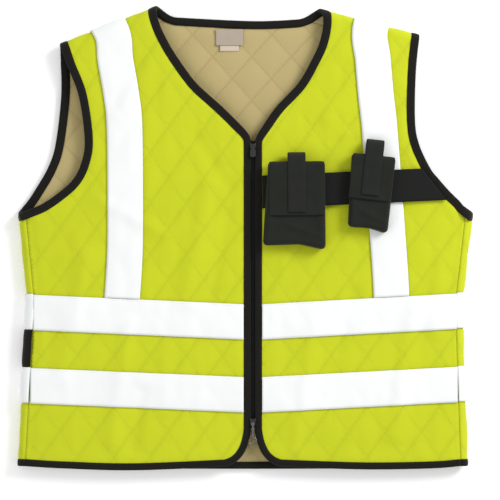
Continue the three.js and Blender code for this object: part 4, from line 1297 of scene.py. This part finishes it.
# %% Chest band
BAND_TOP_ROWS = ((0.635, 0.042), (0.65, 0.758))
BAND_LOW_ROWS = ((0.564, 0.042), (0.582, 0.87))
BAND_RAMP = 0.026
BAND_COUNT, BAND_ROWS = 90, 12
BAND_CRUMPLE = 0.0005
BAND_CRUMPLE_LENGTH = 0.03
band_top_ends = [spot(LEFT, row) for row in BAND_TOP_ROWS]
band_low_ends = [spot(LEFT, row) for row in BAND_LOW_ROWS]
start_x, end_x = band_top_ends[0][0], band_top_ends[1][0]
ramp_places = (start_x, start_x + BAND_RAMP, end_x - BAND_RAMP, band_low_ends[1][0])
ramp_levels = (STRAP_LOW + BAND, BAND_LOW + BAND, BAND_LOW + BAND, STRAP_LOW + BAND)


def band_level(flat, across):
    level = np.interp(flat[:, 0], ramp_places, ramp_levels)
    return level + BAND_CRUMPLE * waves(flat[:, 0], flat[:, 1], BAND_CRUMPLE_LENGTH, seed=2.3)


band_edges = [share_points(np.array(ends), BAND_COUNT) for ends in (band_top_ends, band_low_ends)]
chest = strip("chest_webbing", *band_edges, BAND_ROWS, band_level, BAND, PLACES["left"], WEBBING)
stands_for(chest, "chest_band", slot="webbing")
print("chest band runs from", round(float(start_x), 3), "to", round(float(end_x), 3))

# %% [markdown]
# ## Pouches
# Each pouch is a limp nylon box with a flap over its mouth and a strap that holds it to the band.
# It is empty, so its front face sinks a little and its seams stand out. The body is drawn as an
# outline whose height grows quickly from the rim, which gives soft rolled edges without a bevel.

# %% Pouch sizes
POUCHES = (
    {
        "name": "inner", "at": (0.5735, 0.197), "wide": 0.080, "high": 0.116, "deep": 0.016, "tilt": 0.01,
        "flap": 0.64, "strap": 0.6, "flare": 0.008, "droop": 0.006, "loop": 0.014,
    },
    {
        "name": "outer", "at": (0.598, 0.524), "wide": 0.062, "high": 0.102, "deep": 0.014, "tilt": -0.11,
        "flap": 0.6, "strap": 0.54, "flare": -0.005, "droop": 0.003, "loop": 0.023,
    },
)
POUCH_CORNER = 0.007
POUCH_ROLL = 0.005
POUCH_BEVEL = 0.003
FLAP = 0.0015
STRAP_WIDTH = 0.025
STRAP_BEND = 0.007
MOUTH_CORNER = 0.003
LOW_TUCK = (0.004, 0.001)
POUCH_STEP = 0.002
RUMPLE_HEIGHT = 0.0016
RUMPLE_LENGTH = 0.017


def pouch_outline(pouch):
    """The pouch seen from the front. Its lower edge droops on the side away from the zip."""
    x, y = pouch["wide"] / 2, pouch["high"] / 2
    left_x, low_y = -x - pouch["flare"], -y - pouch["droop"]
    runs = [
        soft_corner((left_x, -y + POUCH_CORNER), (left_x, -y), (left_x + POUCH_CORNER, -y), 7),
        np.array([(LOW_TUCK[0], -y + LOW_TUCK[1])]),
        soft_corner((x - POUCH_CORNER, low_y), (x, low_y), (x, low_y + POUCH_CORNER), 7),
        soft_corner((x, y - MOUTH_CORNER), (x, y), (x - MOUTH_CORNER, y), 7),
        soft_corner((-x + MOUTH_CORNER, y), (-x, y), (-x, y - MOUTH_CORNER), 7),
    ]
    loop = np.concatenate(runs)
    return evenly(np.concatenate([loop, loop[:1]]), POUCH_STEP)[:-1]


def pouch_place(pouch):
    """The rule that puts a pouch on the chest band, a little tilted."""
    centre = spot(LEFT, pouch["at"])
    cos, sin = math.cos(pouch["tilt"]), math.sin(pouch["tilt"])
    turn = np.array(((cos, -sin), (sin, cos)))

    def place(x, y, level):
        flat = np.stack([x, y], axis=1) @ turn.T + centre
        return np.stack([flat[:, 0], flat[:, 1], FRONT_Z + POUCH_LOW + level], axis=1)

    return place


def rumple(x, y):
    """The wrinkles of an empty pouch, which its flap and strap follow."""
    return RUMPLE_HEIGHT * waves(x, y, RUMPLE_LENGTH, seed=5.5)


print("pouches:", [(pouch["wide"], pouch["high"], pouch["deep"]) for pouch in POUCHES])

# %% [markdown]
# ### Pouch bodies
# The body is a closed sheet on the pouch's outline. Three rings of points close to the rim carry
# the rolled edge, and a plain grid carries the sunk face, its wrinkles and one dog-eared fold.
# The fold's two ends are shares of the pouch's width and height, from its middle.

# %% Pouch bodies
RING_INSETS = (0.0005, 0.0014, 0.0028)
GRID_STEP = 0.0025
GRID_INSET = 0.004
SINK = 0.0012
SINK_REACH = 0.02
RUMPLE_CALM = (0.001, 0.008)
FOLD_HEIGHT = 0.0012
FOLD_WIDTH = 0.004
FOLD_ENDS = ((-0.2, -0.24), (0.5, -0.42))
RIM_HEIGHT = 0.002


def pouch_body(pouch, place):
    outline = pouch_outline(pouch)
    inwards = sideways(np.concatenate([outline, outline[:1]]))[:-1]
    rings = [outline + inwards * inset for inset in RING_INSETS]
    rings = [ring[inside(ring, outline)] for ring in rings]
    low, high = outline.min(axis=0), outline.max(axis=0)
    x, y = np.meshgrid(np.arange(low[0], high[0], GRID_STEP), np.arange(low[1], high[1], GRID_STEP))
    middle = np.stack([x.ravel(), y.ravel()], axis=1)
    middle = middle[inside(middle, outline)]
    middle = middle[distance_to(middle, outline, closed=True) > GRID_INSET]
    flat, triangles, rim = triangulate(outline, np.concatenate([*rings, middle]))
    to_rim = distance_to(flat, outline, closed=True)
    roll = np.sqrt(np.clip(1 - (1 - np.clip(to_rim / POUCH_ROLL, 0, 1)) ** 2, 0, 1))
    sink = SINK * blend_in(to_rim, GRID_INSET, SINK_REACH)
    creases = rumple(flat[:, 0], flat[:, 1]) * blend_in(to_rim, *RUMPLE_CALM)
    size = (pouch["wide"], pouch["high"])
    to_fold = distance_to(flat, np.array(FOLD_ENDS) * size)
    creases += FOLD_HEIGHT * np.exp(-((to_fold / FOLD_WIDTH) ** 2))
    top = RIM_HEIGHT + (pouch["deep"] - POUCH_BEVEL) * roll - sink + creases
    top[rim] = RIM_HEIGHT
    name = f"pouch_{pouch['name']}_body"
    body = sheet(name, flat, triangles, rim, top, np.zeros(len(flat)), place, POUCH_CLOTH)
    face_outwards(body)
    stands_for(body, f"pouch_body_{pouch['name']}", slot="pouch_cloth")


for pouch in POUCHES:
    pouch_body(pouch, pouch_place(pouch))
print("pouch bodies made")

# %% [markdown]
# ### Flaps and straps
# A flap and a strap are the same kind of piece: flat stuff bent in one direction. Each follows a
# side view, drawn as points of how far along and how high. The flap goes over the mouth and down
# the front. The strap comes up from behind the band, makes a loop and lies on the flap.

# %% Bent flaps and straps
BEND_STEP = 0.002
EDGE_ROUNDNESS = 14
RUMPLE_FADE = 0.004


def bent_strip(name, path, width, thick, place, material, deep, columns=15):
    """A strip bent along a side view, with rounded edges, wrinkled where it lies on the pouch."""
    path = evenly(spline(path, 60), BEND_STEP)
    share = np.linspace(-1, 1, columns)
    across = share * width / 2
    edge = np.sqrt(np.clip(1 - np.abs(share) ** EDGE_ROUNDNESS, 0, 1)) * thick / 2
    verts = []
    for sign in (1, -1):
        for point, out in zip(path, sideways(path)):
            spots = point + out * (sign * edge)[:, None]
            lift = rumple(across, np.full(columns, point[0]))
            lift = lift * blend_in(point[1], deep - RUMPLE_FADE, deep)
            verts.append(place(across, spots[:, 0], spots[:, 1] + lift))
    uv = np.stack([np.repeat(np.arange(len(path)) * BEND_STEP, columns), np.tile(across, len(path))], axis=1)
    faces = strip_faces(len(path), columns)
    obj = make_mesh(name, np.concatenate(verts), faces, np.concatenate([uv, uv]), material)
    face_outwards(obj)
    return obj


print("bent strip builder ready")

# %% Flaps and straps
for pouch in POUCHES:
    place = pouch_place(pouch)
    mouth, high, deep = pouch["high"] / 2, pouch["high"], pouch["deep"]
    lid = deep + GAP + FLAP / 2
    edge = mouth + GAP + FLAP / 2
    flap_path = [
        (edge, POUCH_BEVEL), (edge, deep / 2), (edge - 0.0004, deep - 0.003), (mouth - 0.002, lid - 0.0002),
        (mouth - 0.008, lid), (mouth - 0.3 * high, lid - 0.0006), (mouth - pouch["flap"] * high, lid - 0.001),
    ]
    name, width = f"pouch_{pouch['name']}_flap", pouch["wide"] - POUCH_BEVEL
    flap = bent_strip(name, flap_path, width, FLAP, place, POUCH_CLOTH, deep, columns=31)
    stands_for(flap, f"pouch_flap_{pouch['name']}", slot="pouch_cloth")
    over = lid + FLAP / 2 + GAP + STRAP / 2
    under = STRAP_LOW - POUCH_LOW + STRAP / 2
    loop = mouth + pouch["loop"]
    strap_end = mouth - pouch["strap"] * high
    strap_path = [
        (strap_end, under), (mouth - 0.02, under), (loop - STRAP_BEND, under), (loop, deep / 3),
        (loop - STRAP_BEND * 2 / 3, deep), (mouth - POUCH_BEVEL, over), (mouth - 0.02, over),
        (mouth - 0.04, over - 0.0004), (strap_end, over - 0.0006),
    ]
    name = f"pouch_{pouch['name']}_strap"
    strap = bent_strip(name, strap_path, STRAP_WIDTH, STRAP, place, STRAP_CLOTH, deep)
    stands_for(strap, f"pouch_strap_{pouch['name']}", slot="webbing")
print("flaps and straps made")

# %% [markdown]
# ## Labels
# Two small woven labels lie inside the back neck. Whatever they carried is left bare. Each row of
# the table is a label: its piece and solid, its place, its size and how far it stands off.

# %% Labels
LABELS = (
    ("label_neck", "neck_label", (0.9345, 0.093), (0.036, 0.023), 0.0013, LABEL_DARK, "label_dark"),
    ("label_size", "size_label", (0.9214, 0.093), (0.025, 0.022), 0.0003, LABEL_PALE, "label_pale"),
)
LABEL_COLUMNS, LABEL_ROWS = 30, 18
LABEL_THICK = 0.0006
LABEL_CRUMPLE = 0.0004
LABEL_CRUMPLE_LENGTH = 0.012
for name, node, row, (wide, high), lifted, material, slot in LABELS:
    columns = np.linspace(-wide / 2, wide / 2, LABEL_COLUMNS)
    edges = [np.stack([columns, np.full(LABEL_COLUMNS, y)], axis=1) for y in (high / 2, -high / 2)]
    top, low = (spot(RIGHT, row) + edge for edge in edges)
    base = LINING_LOW - LINING_PUFF - lifted

    def label_level(flat, across, base=base):
        return base - LABEL_CRUMPLE * waves(flat[:, 0], flat[:, 1], LABEL_CRUMPLE_LENGTH, seed=4.4)

    label = strip(name, top, low, LABEL_ROWS, label_level, LABEL_THICK, back_rule, material)
    stands_for(label, node, slot=slot)
print("labels made")

# %% [markdown]
# ## Zip
# The coil is hundreds of small loops, so Geometry Nodes make it: one line of points down each
# side of the zip, half a pitch apart, with one tooth on every point. The tree is built here with
# named inputs, and the result is turned into a plain mesh.

# %% Geometry Nodes helpers
def node_group(name, inputs):
    """A new tree with named inputs. Gives the tree and its first and last node."""
    tree = bpy.data.node_groups.new(name, "GeometryNodeTree")
    tree.interface.new_socket("Geometry", in_out="INPUT", socket_type="NodeSocketGeometry")
    for label, kind in inputs:
        tree.interface.new_socket(label, in_out="INPUT", socket_type=kind)
    tree.interface.new_socket("Geometry", in_out="OUTPUT", socket_type="NodeSocketGeometry")
    entry, leave = tree.nodes.new("NodeGroupInput"), tree.nodes.new("NodeGroupOutput")
    return tree, entry, leave


def run_nodes(obj, tree, values, name):
    """Evaluates a tree on an object, keeps the result as a plain mesh and drops the rest."""
    modifier = obj.modifiers.new("nodes", "NODES")
    modifier.node_group = tree
    sockets = {item.name: item.identifier for item in tree.interface.items_tree if item.in_out == "INPUT"}
    for label, value in values.items():
        modifier[sockets[label]] = value
    depsgraph = bpy.context.evaluated_depsgraph_get()
    mesh = bpy.data.meshes.new_from_object(obj.evaluated_get(depsgraph), depsgraph=depsgraph)
    obj.modifiers.remove(modifier)
    bpy.data.objects.remove(obj)
    return new_object(name, mesh)


def finish_tree(tree, leave, geometry, material):
    """Makes the instances real and gives them their material."""
    realized = add(tree, "GeometryNodeRealizeInstances", {"Geometry": geometry})
    painted = add(tree, "GeometryNodeSetMaterial", {"Geometry": realized.outputs[0], "Material": material})
    tree.links.new(painted.outputs[0], leave.inputs[0])


print("node helpers ready")

# %% [markdown]
# ### Zip coil
# On the closed zip only the tops of the loops show, as two rows of small bars that mesh. So a
# tooth is a stretched ball, which needs few faces, and the tree lays one line of them to each
# side. The start, the pitch, the count and the tooth's size are inputs of the tree.

# %% Zip coil
COIL_PITCH = 0.0016
coil_tree, entry, leave = node_group(
    "zip teeth",
    (("Pitch", "NodeSocketFloat"), ("Count", "NodeSocketInt"), ("Start", "NodeSocketVector"),
     ("Tooth", "NodeSocketVector"), ("Offset", "NodeSocketFloat"), ("Material", "NodeSocketMaterial")),
)
teeth = []
step = add(coil_tree, "ShaderNodeCombineXYZ", {"Y": entry.outputs["Pitch"]})
for sign in (-1, 1):
    aside = calc(coil_tree, "MULTIPLY", entry.outputs["Offset"], sign)
    half_step = calc(coil_tree, "MULTIPLY", entry.outputs["Pitch"], 0.25 * sign)
    shift = add(coil_tree, "ShaderNodeCombineXYZ", {"X": aside, "Y": half_step})
    first = {0: entry.outputs["Start"], 1: shift.outputs[0]}
    start = add(coil_tree, "ShaderNodeVectorMath", first, operation="ADD")
    line = add(
        coil_tree, "GeometryNodeMeshLine",
        {"Count": entry.outputs["Count"], "Start Location": start.outputs[0], "Offset": step.outputs[0]},
    )
    tooth = add(coil_tree, "GeometryNodeMeshUVSphere", {"Segments": 8, "Rings": 5, "Radius": 1.0})
    placed = add(
        coil_tree, "GeometryNodeInstanceOnPoints",
        {"Points": line.outputs[0], "Instance": tooth.outputs[0], "Scale": entry.outputs["Tooth"]},
    )
    teeth.append(placed.outputs[0])
both = coil_tree.nodes.new("GeometryNodeJoinGeometry")
for socket in teeth:
    coil_tree.links.new(socket, both.inputs[0])
finish_tree(coil_tree, leave, both.outputs[0], entry.outputs["Material"])

holder = new_object("holder", bpy.data.meshes.new("holder"))
coil_values = {
    "Pitch": COIL_PITCH,
    "Count": int((coil_high[1] - coil_low[1]) / COIL_PITCH),
    "Start": (ZIP_X, coil_low[1] + COIL_PITCH / 2, (coil_low[2] + coil_high[2]) / 2),
    "Tooth": (0.0016, 0.00055, 0.0011),
    "Offset": 0.0009,
    "Material": COIL,
}
coil = run_nodes(holder, coil_tree, coil_values, "zip_teeth")
stands_for(coil, "zip_coil", slot="zip_coil")
print("zip teeth:", coil_values["Count"] * 2)

# %% [markdown]
# ### Sliders and pulls
# The metal parts are small plates with rounded edges. Each is drawn as an outline, given a
# thickness, and softened with a bevel modifier that stays on the piece.

# %% Plates
def plate(name, outlines, bevel, material):
    """One mesh from flat outlines with a low and a high level each."""
    bm = bmesh.new()
    for outline, low, high in outlines:
        ring = [bm.verts.new((x + ZIP_X, y + HEM_Y, low)) for x, y in outline]
        face = bm.faces.new(ring)
        grown = bmesh.ops.extrude_face_region(bm, geom=[face])
        tops = [item for item in grown["geom"] if isinstance(item, bmesh.types.BMVert)]
        bmesh.ops.translate(bm, verts=tops, vec=(0, 0, high - low))
    bmesh.ops.recalc_face_normals(bm, faces=bm.faces)
    mesh = bpy.data.meshes.new(name)
    bm.to_mesh(mesh)
    bm.free()
    mesh.materials.append(material)
    obj = new_object(name, mesh)
    soft = obj.modifiers.new("soft edges", "BEVEL")
    soft.width = bevel
    soft.segments = soft.segments + 1
    soft.limit_method = "ANGLE"
    return obj


def rounded_box(x0, x1, y0, y1, corner, steps=5):
    """An anticlockwise outline of a box with rounded corners."""
    left, right, bottom, top = x0 + corner, x1 - corner, y0 + corner, y1 - corner
    points = []
    for x, y, start in ((right, top, 0), (left, top, 90), (left, bottom, 180), (right, bottom, 270)):
        for angle in np.linspace(start, start + 90, steps):
            bend = math.radians(angle)
            points.append((x + corner * math.cos(bend), y + corner * math.sin(bend)))
    return points


print("plate builder ready")

# %% Sliders
def slider_outline(half, y0, y1):
    """A shield: narrow below, with two horns above, the same on both sides."""
    mid = (y0 + y1) / 2
    right = [
        (half * 0.62, y0), (half * 0.75, mid - 0.002), (half, y1 - 0.003), (half * 0.85, y1),
        (half * 0.2, y1 - 0.0015),
    ]
    return right + [(-x, y) for x, y in reversed(right)]


for end in ("top", "bottom"):
    low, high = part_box(f"zip_slider_{end}")
    y0, y1, top_z = low[1] - HEM_Y, high[1] - HEM_Y, high[2]
    mid = (y0 + y1) / 2
    body = slider_outline((high[0] - low[0]) / 2, y0, y1)
    hump = rounded_box(-0.0014, 0.0014, mid - 0.004, mid + 0.0045, 0.0012)
    stem = rounded_box(-0.0012, 0.0012, y0 + 0.002, y1 - 0.0025, 0.001)
    layers = [
        (body, top_z - 0.0016, top_z - 0.0003), (hump, top_z - 0.0006, top_z + 0.0012),
        (stem, low[2], top_z - 0.001),
    ]
    slider = plate(f"zip_{end}_slider", layers, 0.0003, DARK_METAL)
    stands_for(slider, f"zip_slider_{end}", slot="zip_metal")
print("sliders made")

# %% [markdown]
# ### The two pulls
# The top pull is a short dark tongue. The bottom one is a waisted tab that ends in a ring, with
# raised bars across it. The ring is a small circle swept round a large one.

# %% Pulls
low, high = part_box("zip_pull_top")
y0, y1 = low[1] - HEM_Y, high[1] - HEM_Y
tongue = rounded_box(-0.004, 0.004, y0, y1 - 0.003, 0.0025)
neck = rounded_box(-0.002, 0.002, y1 - 0.004, y1, 0.001)
top_pull = plate("zip_top_pull", [(shape, low[2], high[2]) for shape in (tongue, neck)], 0.0004, DARK_PULL)
stands_for(top_pull, "zip_pull_top", slot="zip_puller")

RING = 0.006
WIRE = 0.0008
AROUND, SECTION = 40, 10


def pull_with_ring(name, node):
    low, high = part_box(node)
    top, bottom = high[1] - HEM_Y, low[1] - HEM_Y
    z0, z1 = low[2], high[2]
    tab_end = bottom + 2 * RING - 0.001
    outlines = [
        (rounded_box(-0.0011, 0.0011, tab_end, top, 0.0008), z0, z1),
        (rounded_box(-0.0022, 0.0022, top - 0.0045, top, 0.0016), z0, z1 + 0.0002),
        (rounded_box(-0.0021, 0.0021, top - 0.011, top - 0.0075, 0.0014), z0, z1 + 0.0002),
        (rounded_box(-0.002, 0.002, tab_end, tab_end + 0.004, 0.0014), z0, z1 + 0.0002),
    ]
    obj = plate(name, outlines, 0.0003, METAL)
    bm = bmesh.new()
    bm.from_mesh(obj.data)
    rows = []
    for a in np.arange(AROUND) * 2 * math.pi / AROUND:
        row = []
        for b in np.arange(SECTION) * 2 * math.pi / SECTION:
            reach = RING - WIRE + WIRE * math.cos(b)
            x, y = reach * math.cos(a), bottom + RING + reach * math.sin(a)
            row.append(bm.verts.new((ZIP_X + x, HEM_Y + y, (z0 + z1) / 2 + WIRE * math.sin(b))))
        rows.append(row)
    for i in range(AROUND):
        for k in range(SECTION):
            after, up = rows[(i + 1) % AROUND], (k + 1) % SECTION
            bm.faces.new((rows[i][k], after[k], after[up], rows[i][up])).smooth = True
    bm.to_mesh(obj.data)
    bm.free()
    return obj


stands_for(pull_with_ring("zip_bottom_pull", "zip_pull_bottom"), "zip_pull_bottom", slot="zip_metal")
print("pulls made")

# %% [markdown]
# ## Stitches
# Stitches follow paths, so one Geometry Nodes tree makes them all: it spaces points along a
# path, turns a small grain of thread along the path on each, and makes the result real. The
# paths are mesh edges laid just above the cloth.

# %% Stitch tree
stitch_tree, entry, leave = node_group(
    "stitches",
    (("Pitch", "NodeSocketFloat"), ("Stitch", "NodeSocketVector"), ("Material", "NodeSocketMaterial")),
)
curve = add(stitch_tree, "GeometryNodeMeshToCurve", {"Mesh": entry.outputs["Geometry"]})
spaced = add(stitch_tree, "GeometryNodeResampleCurve", {"Curve": curve.outputs[0]}, mode="LENGTH")
stitch_tree.links.new(entry.outputs["Pitch"], spaced.inputs["Length"])
tangent = stitch_tree.nodes.new("GeometryNodeInputTangent")
turned = add(stitch_tree, "FunctionNodeAlignRotationToVector", {"Vector": tangent.outputs[0]}, axis="X")
grain = add(stitch_tree, "GeometryNodeMeshIcoSphere", {"Radius": 0.5, "Subdivisions": 1})
laid = add(
    stitch_tree, "GeometryNodeInstanceOnPoints",
    {
        "Points": spaced.outputs[0], "Instance": grain.outputs[0],
        "Rotation": turned.outputs[0], "Scale": entry.outputs["Stitch"],
    },
)
finish_tree(stitch_tree, leave, laid.outputs[0], entry.outputs["Material"])


def stitch_piece(name, paths, pitch, size, material):
    """Lays stitches of one thread along many paths, as one piece."""
    verts, edges = [], []
    count = 0
    for path in paths:
        verts.append(path + (ZIP_X, HEM_Y, 0))
        edges += [(count + i, count + i + 1) for i in range(len(path) - 1)]
        count += len(path)
    mesh = bpy.data.meshes.new(name + "_path")
    mesh.from_pydata(np.concatenate(verts).tolist(), edges, [])
    values = {"Pitch": pitch, "Stitch": size, "Material": material}
    obj = run_nodes(new_object(name + "_path", mesh), stitch_tree, values, name)
    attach(obj, "root")
    print(name, len(obj.data.polygons), "faces")


print("stitch tree ready")

# %% [markdown]
# ### Quilting stitches
# The quilting thread runs in the seams of the diamonds. Its paths are lattice lines, laid on the
# pillows and cut off where the binding or a tape begins.

# %% Quilting stitches
LINE_STEP = 0.08
THREAD_LIFT = 0.0001
CLEAR_OF_RIM = 0.011
CLEAR_OF_TAPE = 0.001


def quilt_paths(panel):
    outline = OUTLINES[panel]
    spans = quilt_spans(outline, SHELL_QUILT)
    puff = PUFF * (1 if panel == "back" else PILLOW_SHARE)
    paths = []
    for which in (0, 1):
        other = np.arange(*spans[1 - which], LINE_STEP)
        for line in range(spans[which][0], spans[which][1] + 1):
            along = (np.full(len(other), line), other)
            flat = quilt_places(*(along if which == 0 else along[::-1]), SHELL_QUILT)
            near = distance_to(flat, outline[::3], closed=True)
            good = inside(flat, outline) & (near > CLEAR_OF_RIM) & (past_tape(panel, flat) > CLEAR_OF_TAPE)
            for run in np.split(np.arange(len(flat)), np.nonzero(~good)[0]):
                run = flat[run[good[run]]]
                if len(run) > 2:
                    level = SHELL + puff * pillow(run, SHELL_QUILT) + THREAD_LIFT
                    paths.append(PLACES[panel](run[:, 0], run[:, 1], level))
    return paths


paths = [path for panel in OUTLINES for path in quilt_paths(panel)]
stitch_piece(
    "stitches_quilting", paths, pitch=0.0042, size=(0.0032, 0.0005, 0.0004),
    material=THREAD_LIME,
)

# %% [markdown]
# ### Stitches of tape and binding
# White thread holds the tape along both edges, on the lines that were noted when it was made.
# Black thread runs just inside the inner edge of each binding.

# %% Tape and binding stitches
BINDING_SEAM = 0.0022

paths = []
for panel, flat in seam_rows:
    dense = evenly(flat, STEP)
    level = tape_level(dense, np.full(len(dense), SEAM_SHARE)) + THREAD_LIFT
    paths.append(PLACES[panel](dense[:, 0], dense[:, 1], level))
stitch_piece(
    "stitches_tape", paths, pitch=0.0034, size=(0.0026, 0.0005, 0.0004),
    material=THREAD_WHITE,
)

paths = []
for side in SIDES:
    name, sign = side["name"], side["sign"]
    front, back = FRONT_EDGES[name], BACK_EDGES[name]
    rows = (
        (front["arm"], WIDE_BINDING, PLACES[name]), (front["neck"], WIDE_BINDING, PLACES[name]),
        (lower_edge(front), NARROW_BINDING, PLACES[name]), (back["arm"], WIDE_BINDING, back_rule),
    )
    for path, width, place in rows:
        flat = path + sideways(path) * sign * (width - BINDING_SEAM)
        paths.append(place(flat[:, 0], flat[:, 1], np.full(len(flat), BINDING_TOP + 2 * THREAD_LIFT)))
stitch_piece(
    "stitches_binding", paths, pitch=0.0036, size=(0.0027, 0.0005, 0.0004),
    material=THREAD_BLACK,
)

# %% [markdown]
# ## Zip tapes
# The two strips of cloth beside the coil are plain and nearly hidden, so the solids of the
# construction model stay and only get the woven finish.

# %% Zip tapes
for node in ("zip_tape_right", "zip_tape_left"):
    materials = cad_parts[node].data.materials
    materials.clear()
    materials.append(ZIP_CLOTH)
print("zip tapes dressed")

# %% [markdown]
# ## Floor and camera
# The photograph looks straight down on a white ground. The floor lies just under the tapes and
# glows a little, which keeps it white without flattening the light on the cloth. A long lens far
# away shows the vest with hardly any perspective.

# %% Floor and camera
FLOOR_SIZE = 8
FLOOR_Z = -0.0006
FLOOR_GLOW = 0.1
WHITE = (1, 1, 1, 1)
bpy.ops.mesh.primitive_plane_add(size=FLOOR_SIZE, location=(0, 0, FLOOR_Z))
floor = bpy.context.object
floor.name = "floor"
floor_material, _, floor_shader = new_material("pale floor", (0.98, 0.98, 0.98), roughness=0.9)
floor_shader.inputs["Emission Color"].default_value = WHITE
floor_shader.inputs["Emission Strength"].default_value = FLOOR_GLOW
floor.data.materials.append(floor_material)

VIEW_WIDTH = 0.705
VIEW_CENTRE = (0.0065, -0.0175)
CAMERA_HEIGHT = 3.2
camera_data = bpy.data.cameras.new("camera")
camera_data.lens = camera_data.sensor_width * CAMERA_HEIGHT / VIEW_WIDTH
camera = new_object("camera", camera_data)
camera.location = (*VIEW_CENTRE, CAMERA_HEIGHT + FRONT_Z)
bpy.context.scene.camera = camera
print("lens:", round(camera_data.lens), "mm")

# %% [markdown]
# ## Light
# One soft lamp stands to the upper right and gives the folds and the pouches their shade. A
# wider, weaker one fills in from the other side, and a white sky does the rest. The standard
# view transform keeps the bright cloth as bright as it is in the photograph.

# %% Light
SKY = 0.72


def area_light(name, place, size, power):
    """A round lamp that points at the middle of the vest."""
    data = bpy.data.lights.new(name, "AREA")
    data.shape = "DISK"
    data.size = size
    data.energy = power
    lamp = new_object(name, data)
    lamp.location = place
    lamp.rotation_euler = (-Vector(place)).to_track_quat("-Z", "Y").to_euler()


area_light("key", place=(1.9, 1.3, 1.7), size=1.2, power=54)
area_light("fill", place=(-1.6, -1.2, 2.4), size=2.2, power=14)
bpy.context.scene.view_settings.view_transform = "Standard"
world = bpy.data.worlds.new("studio")
world.use_nodes = True
background = world.node_tree.nodes["Background"]
background.inputs["Color"].default_value = WHITE
background.inputs["Strength"].default_value = SKY
bpy.context.scene.world = world
print("lamps:", len(bpy.data.lights))
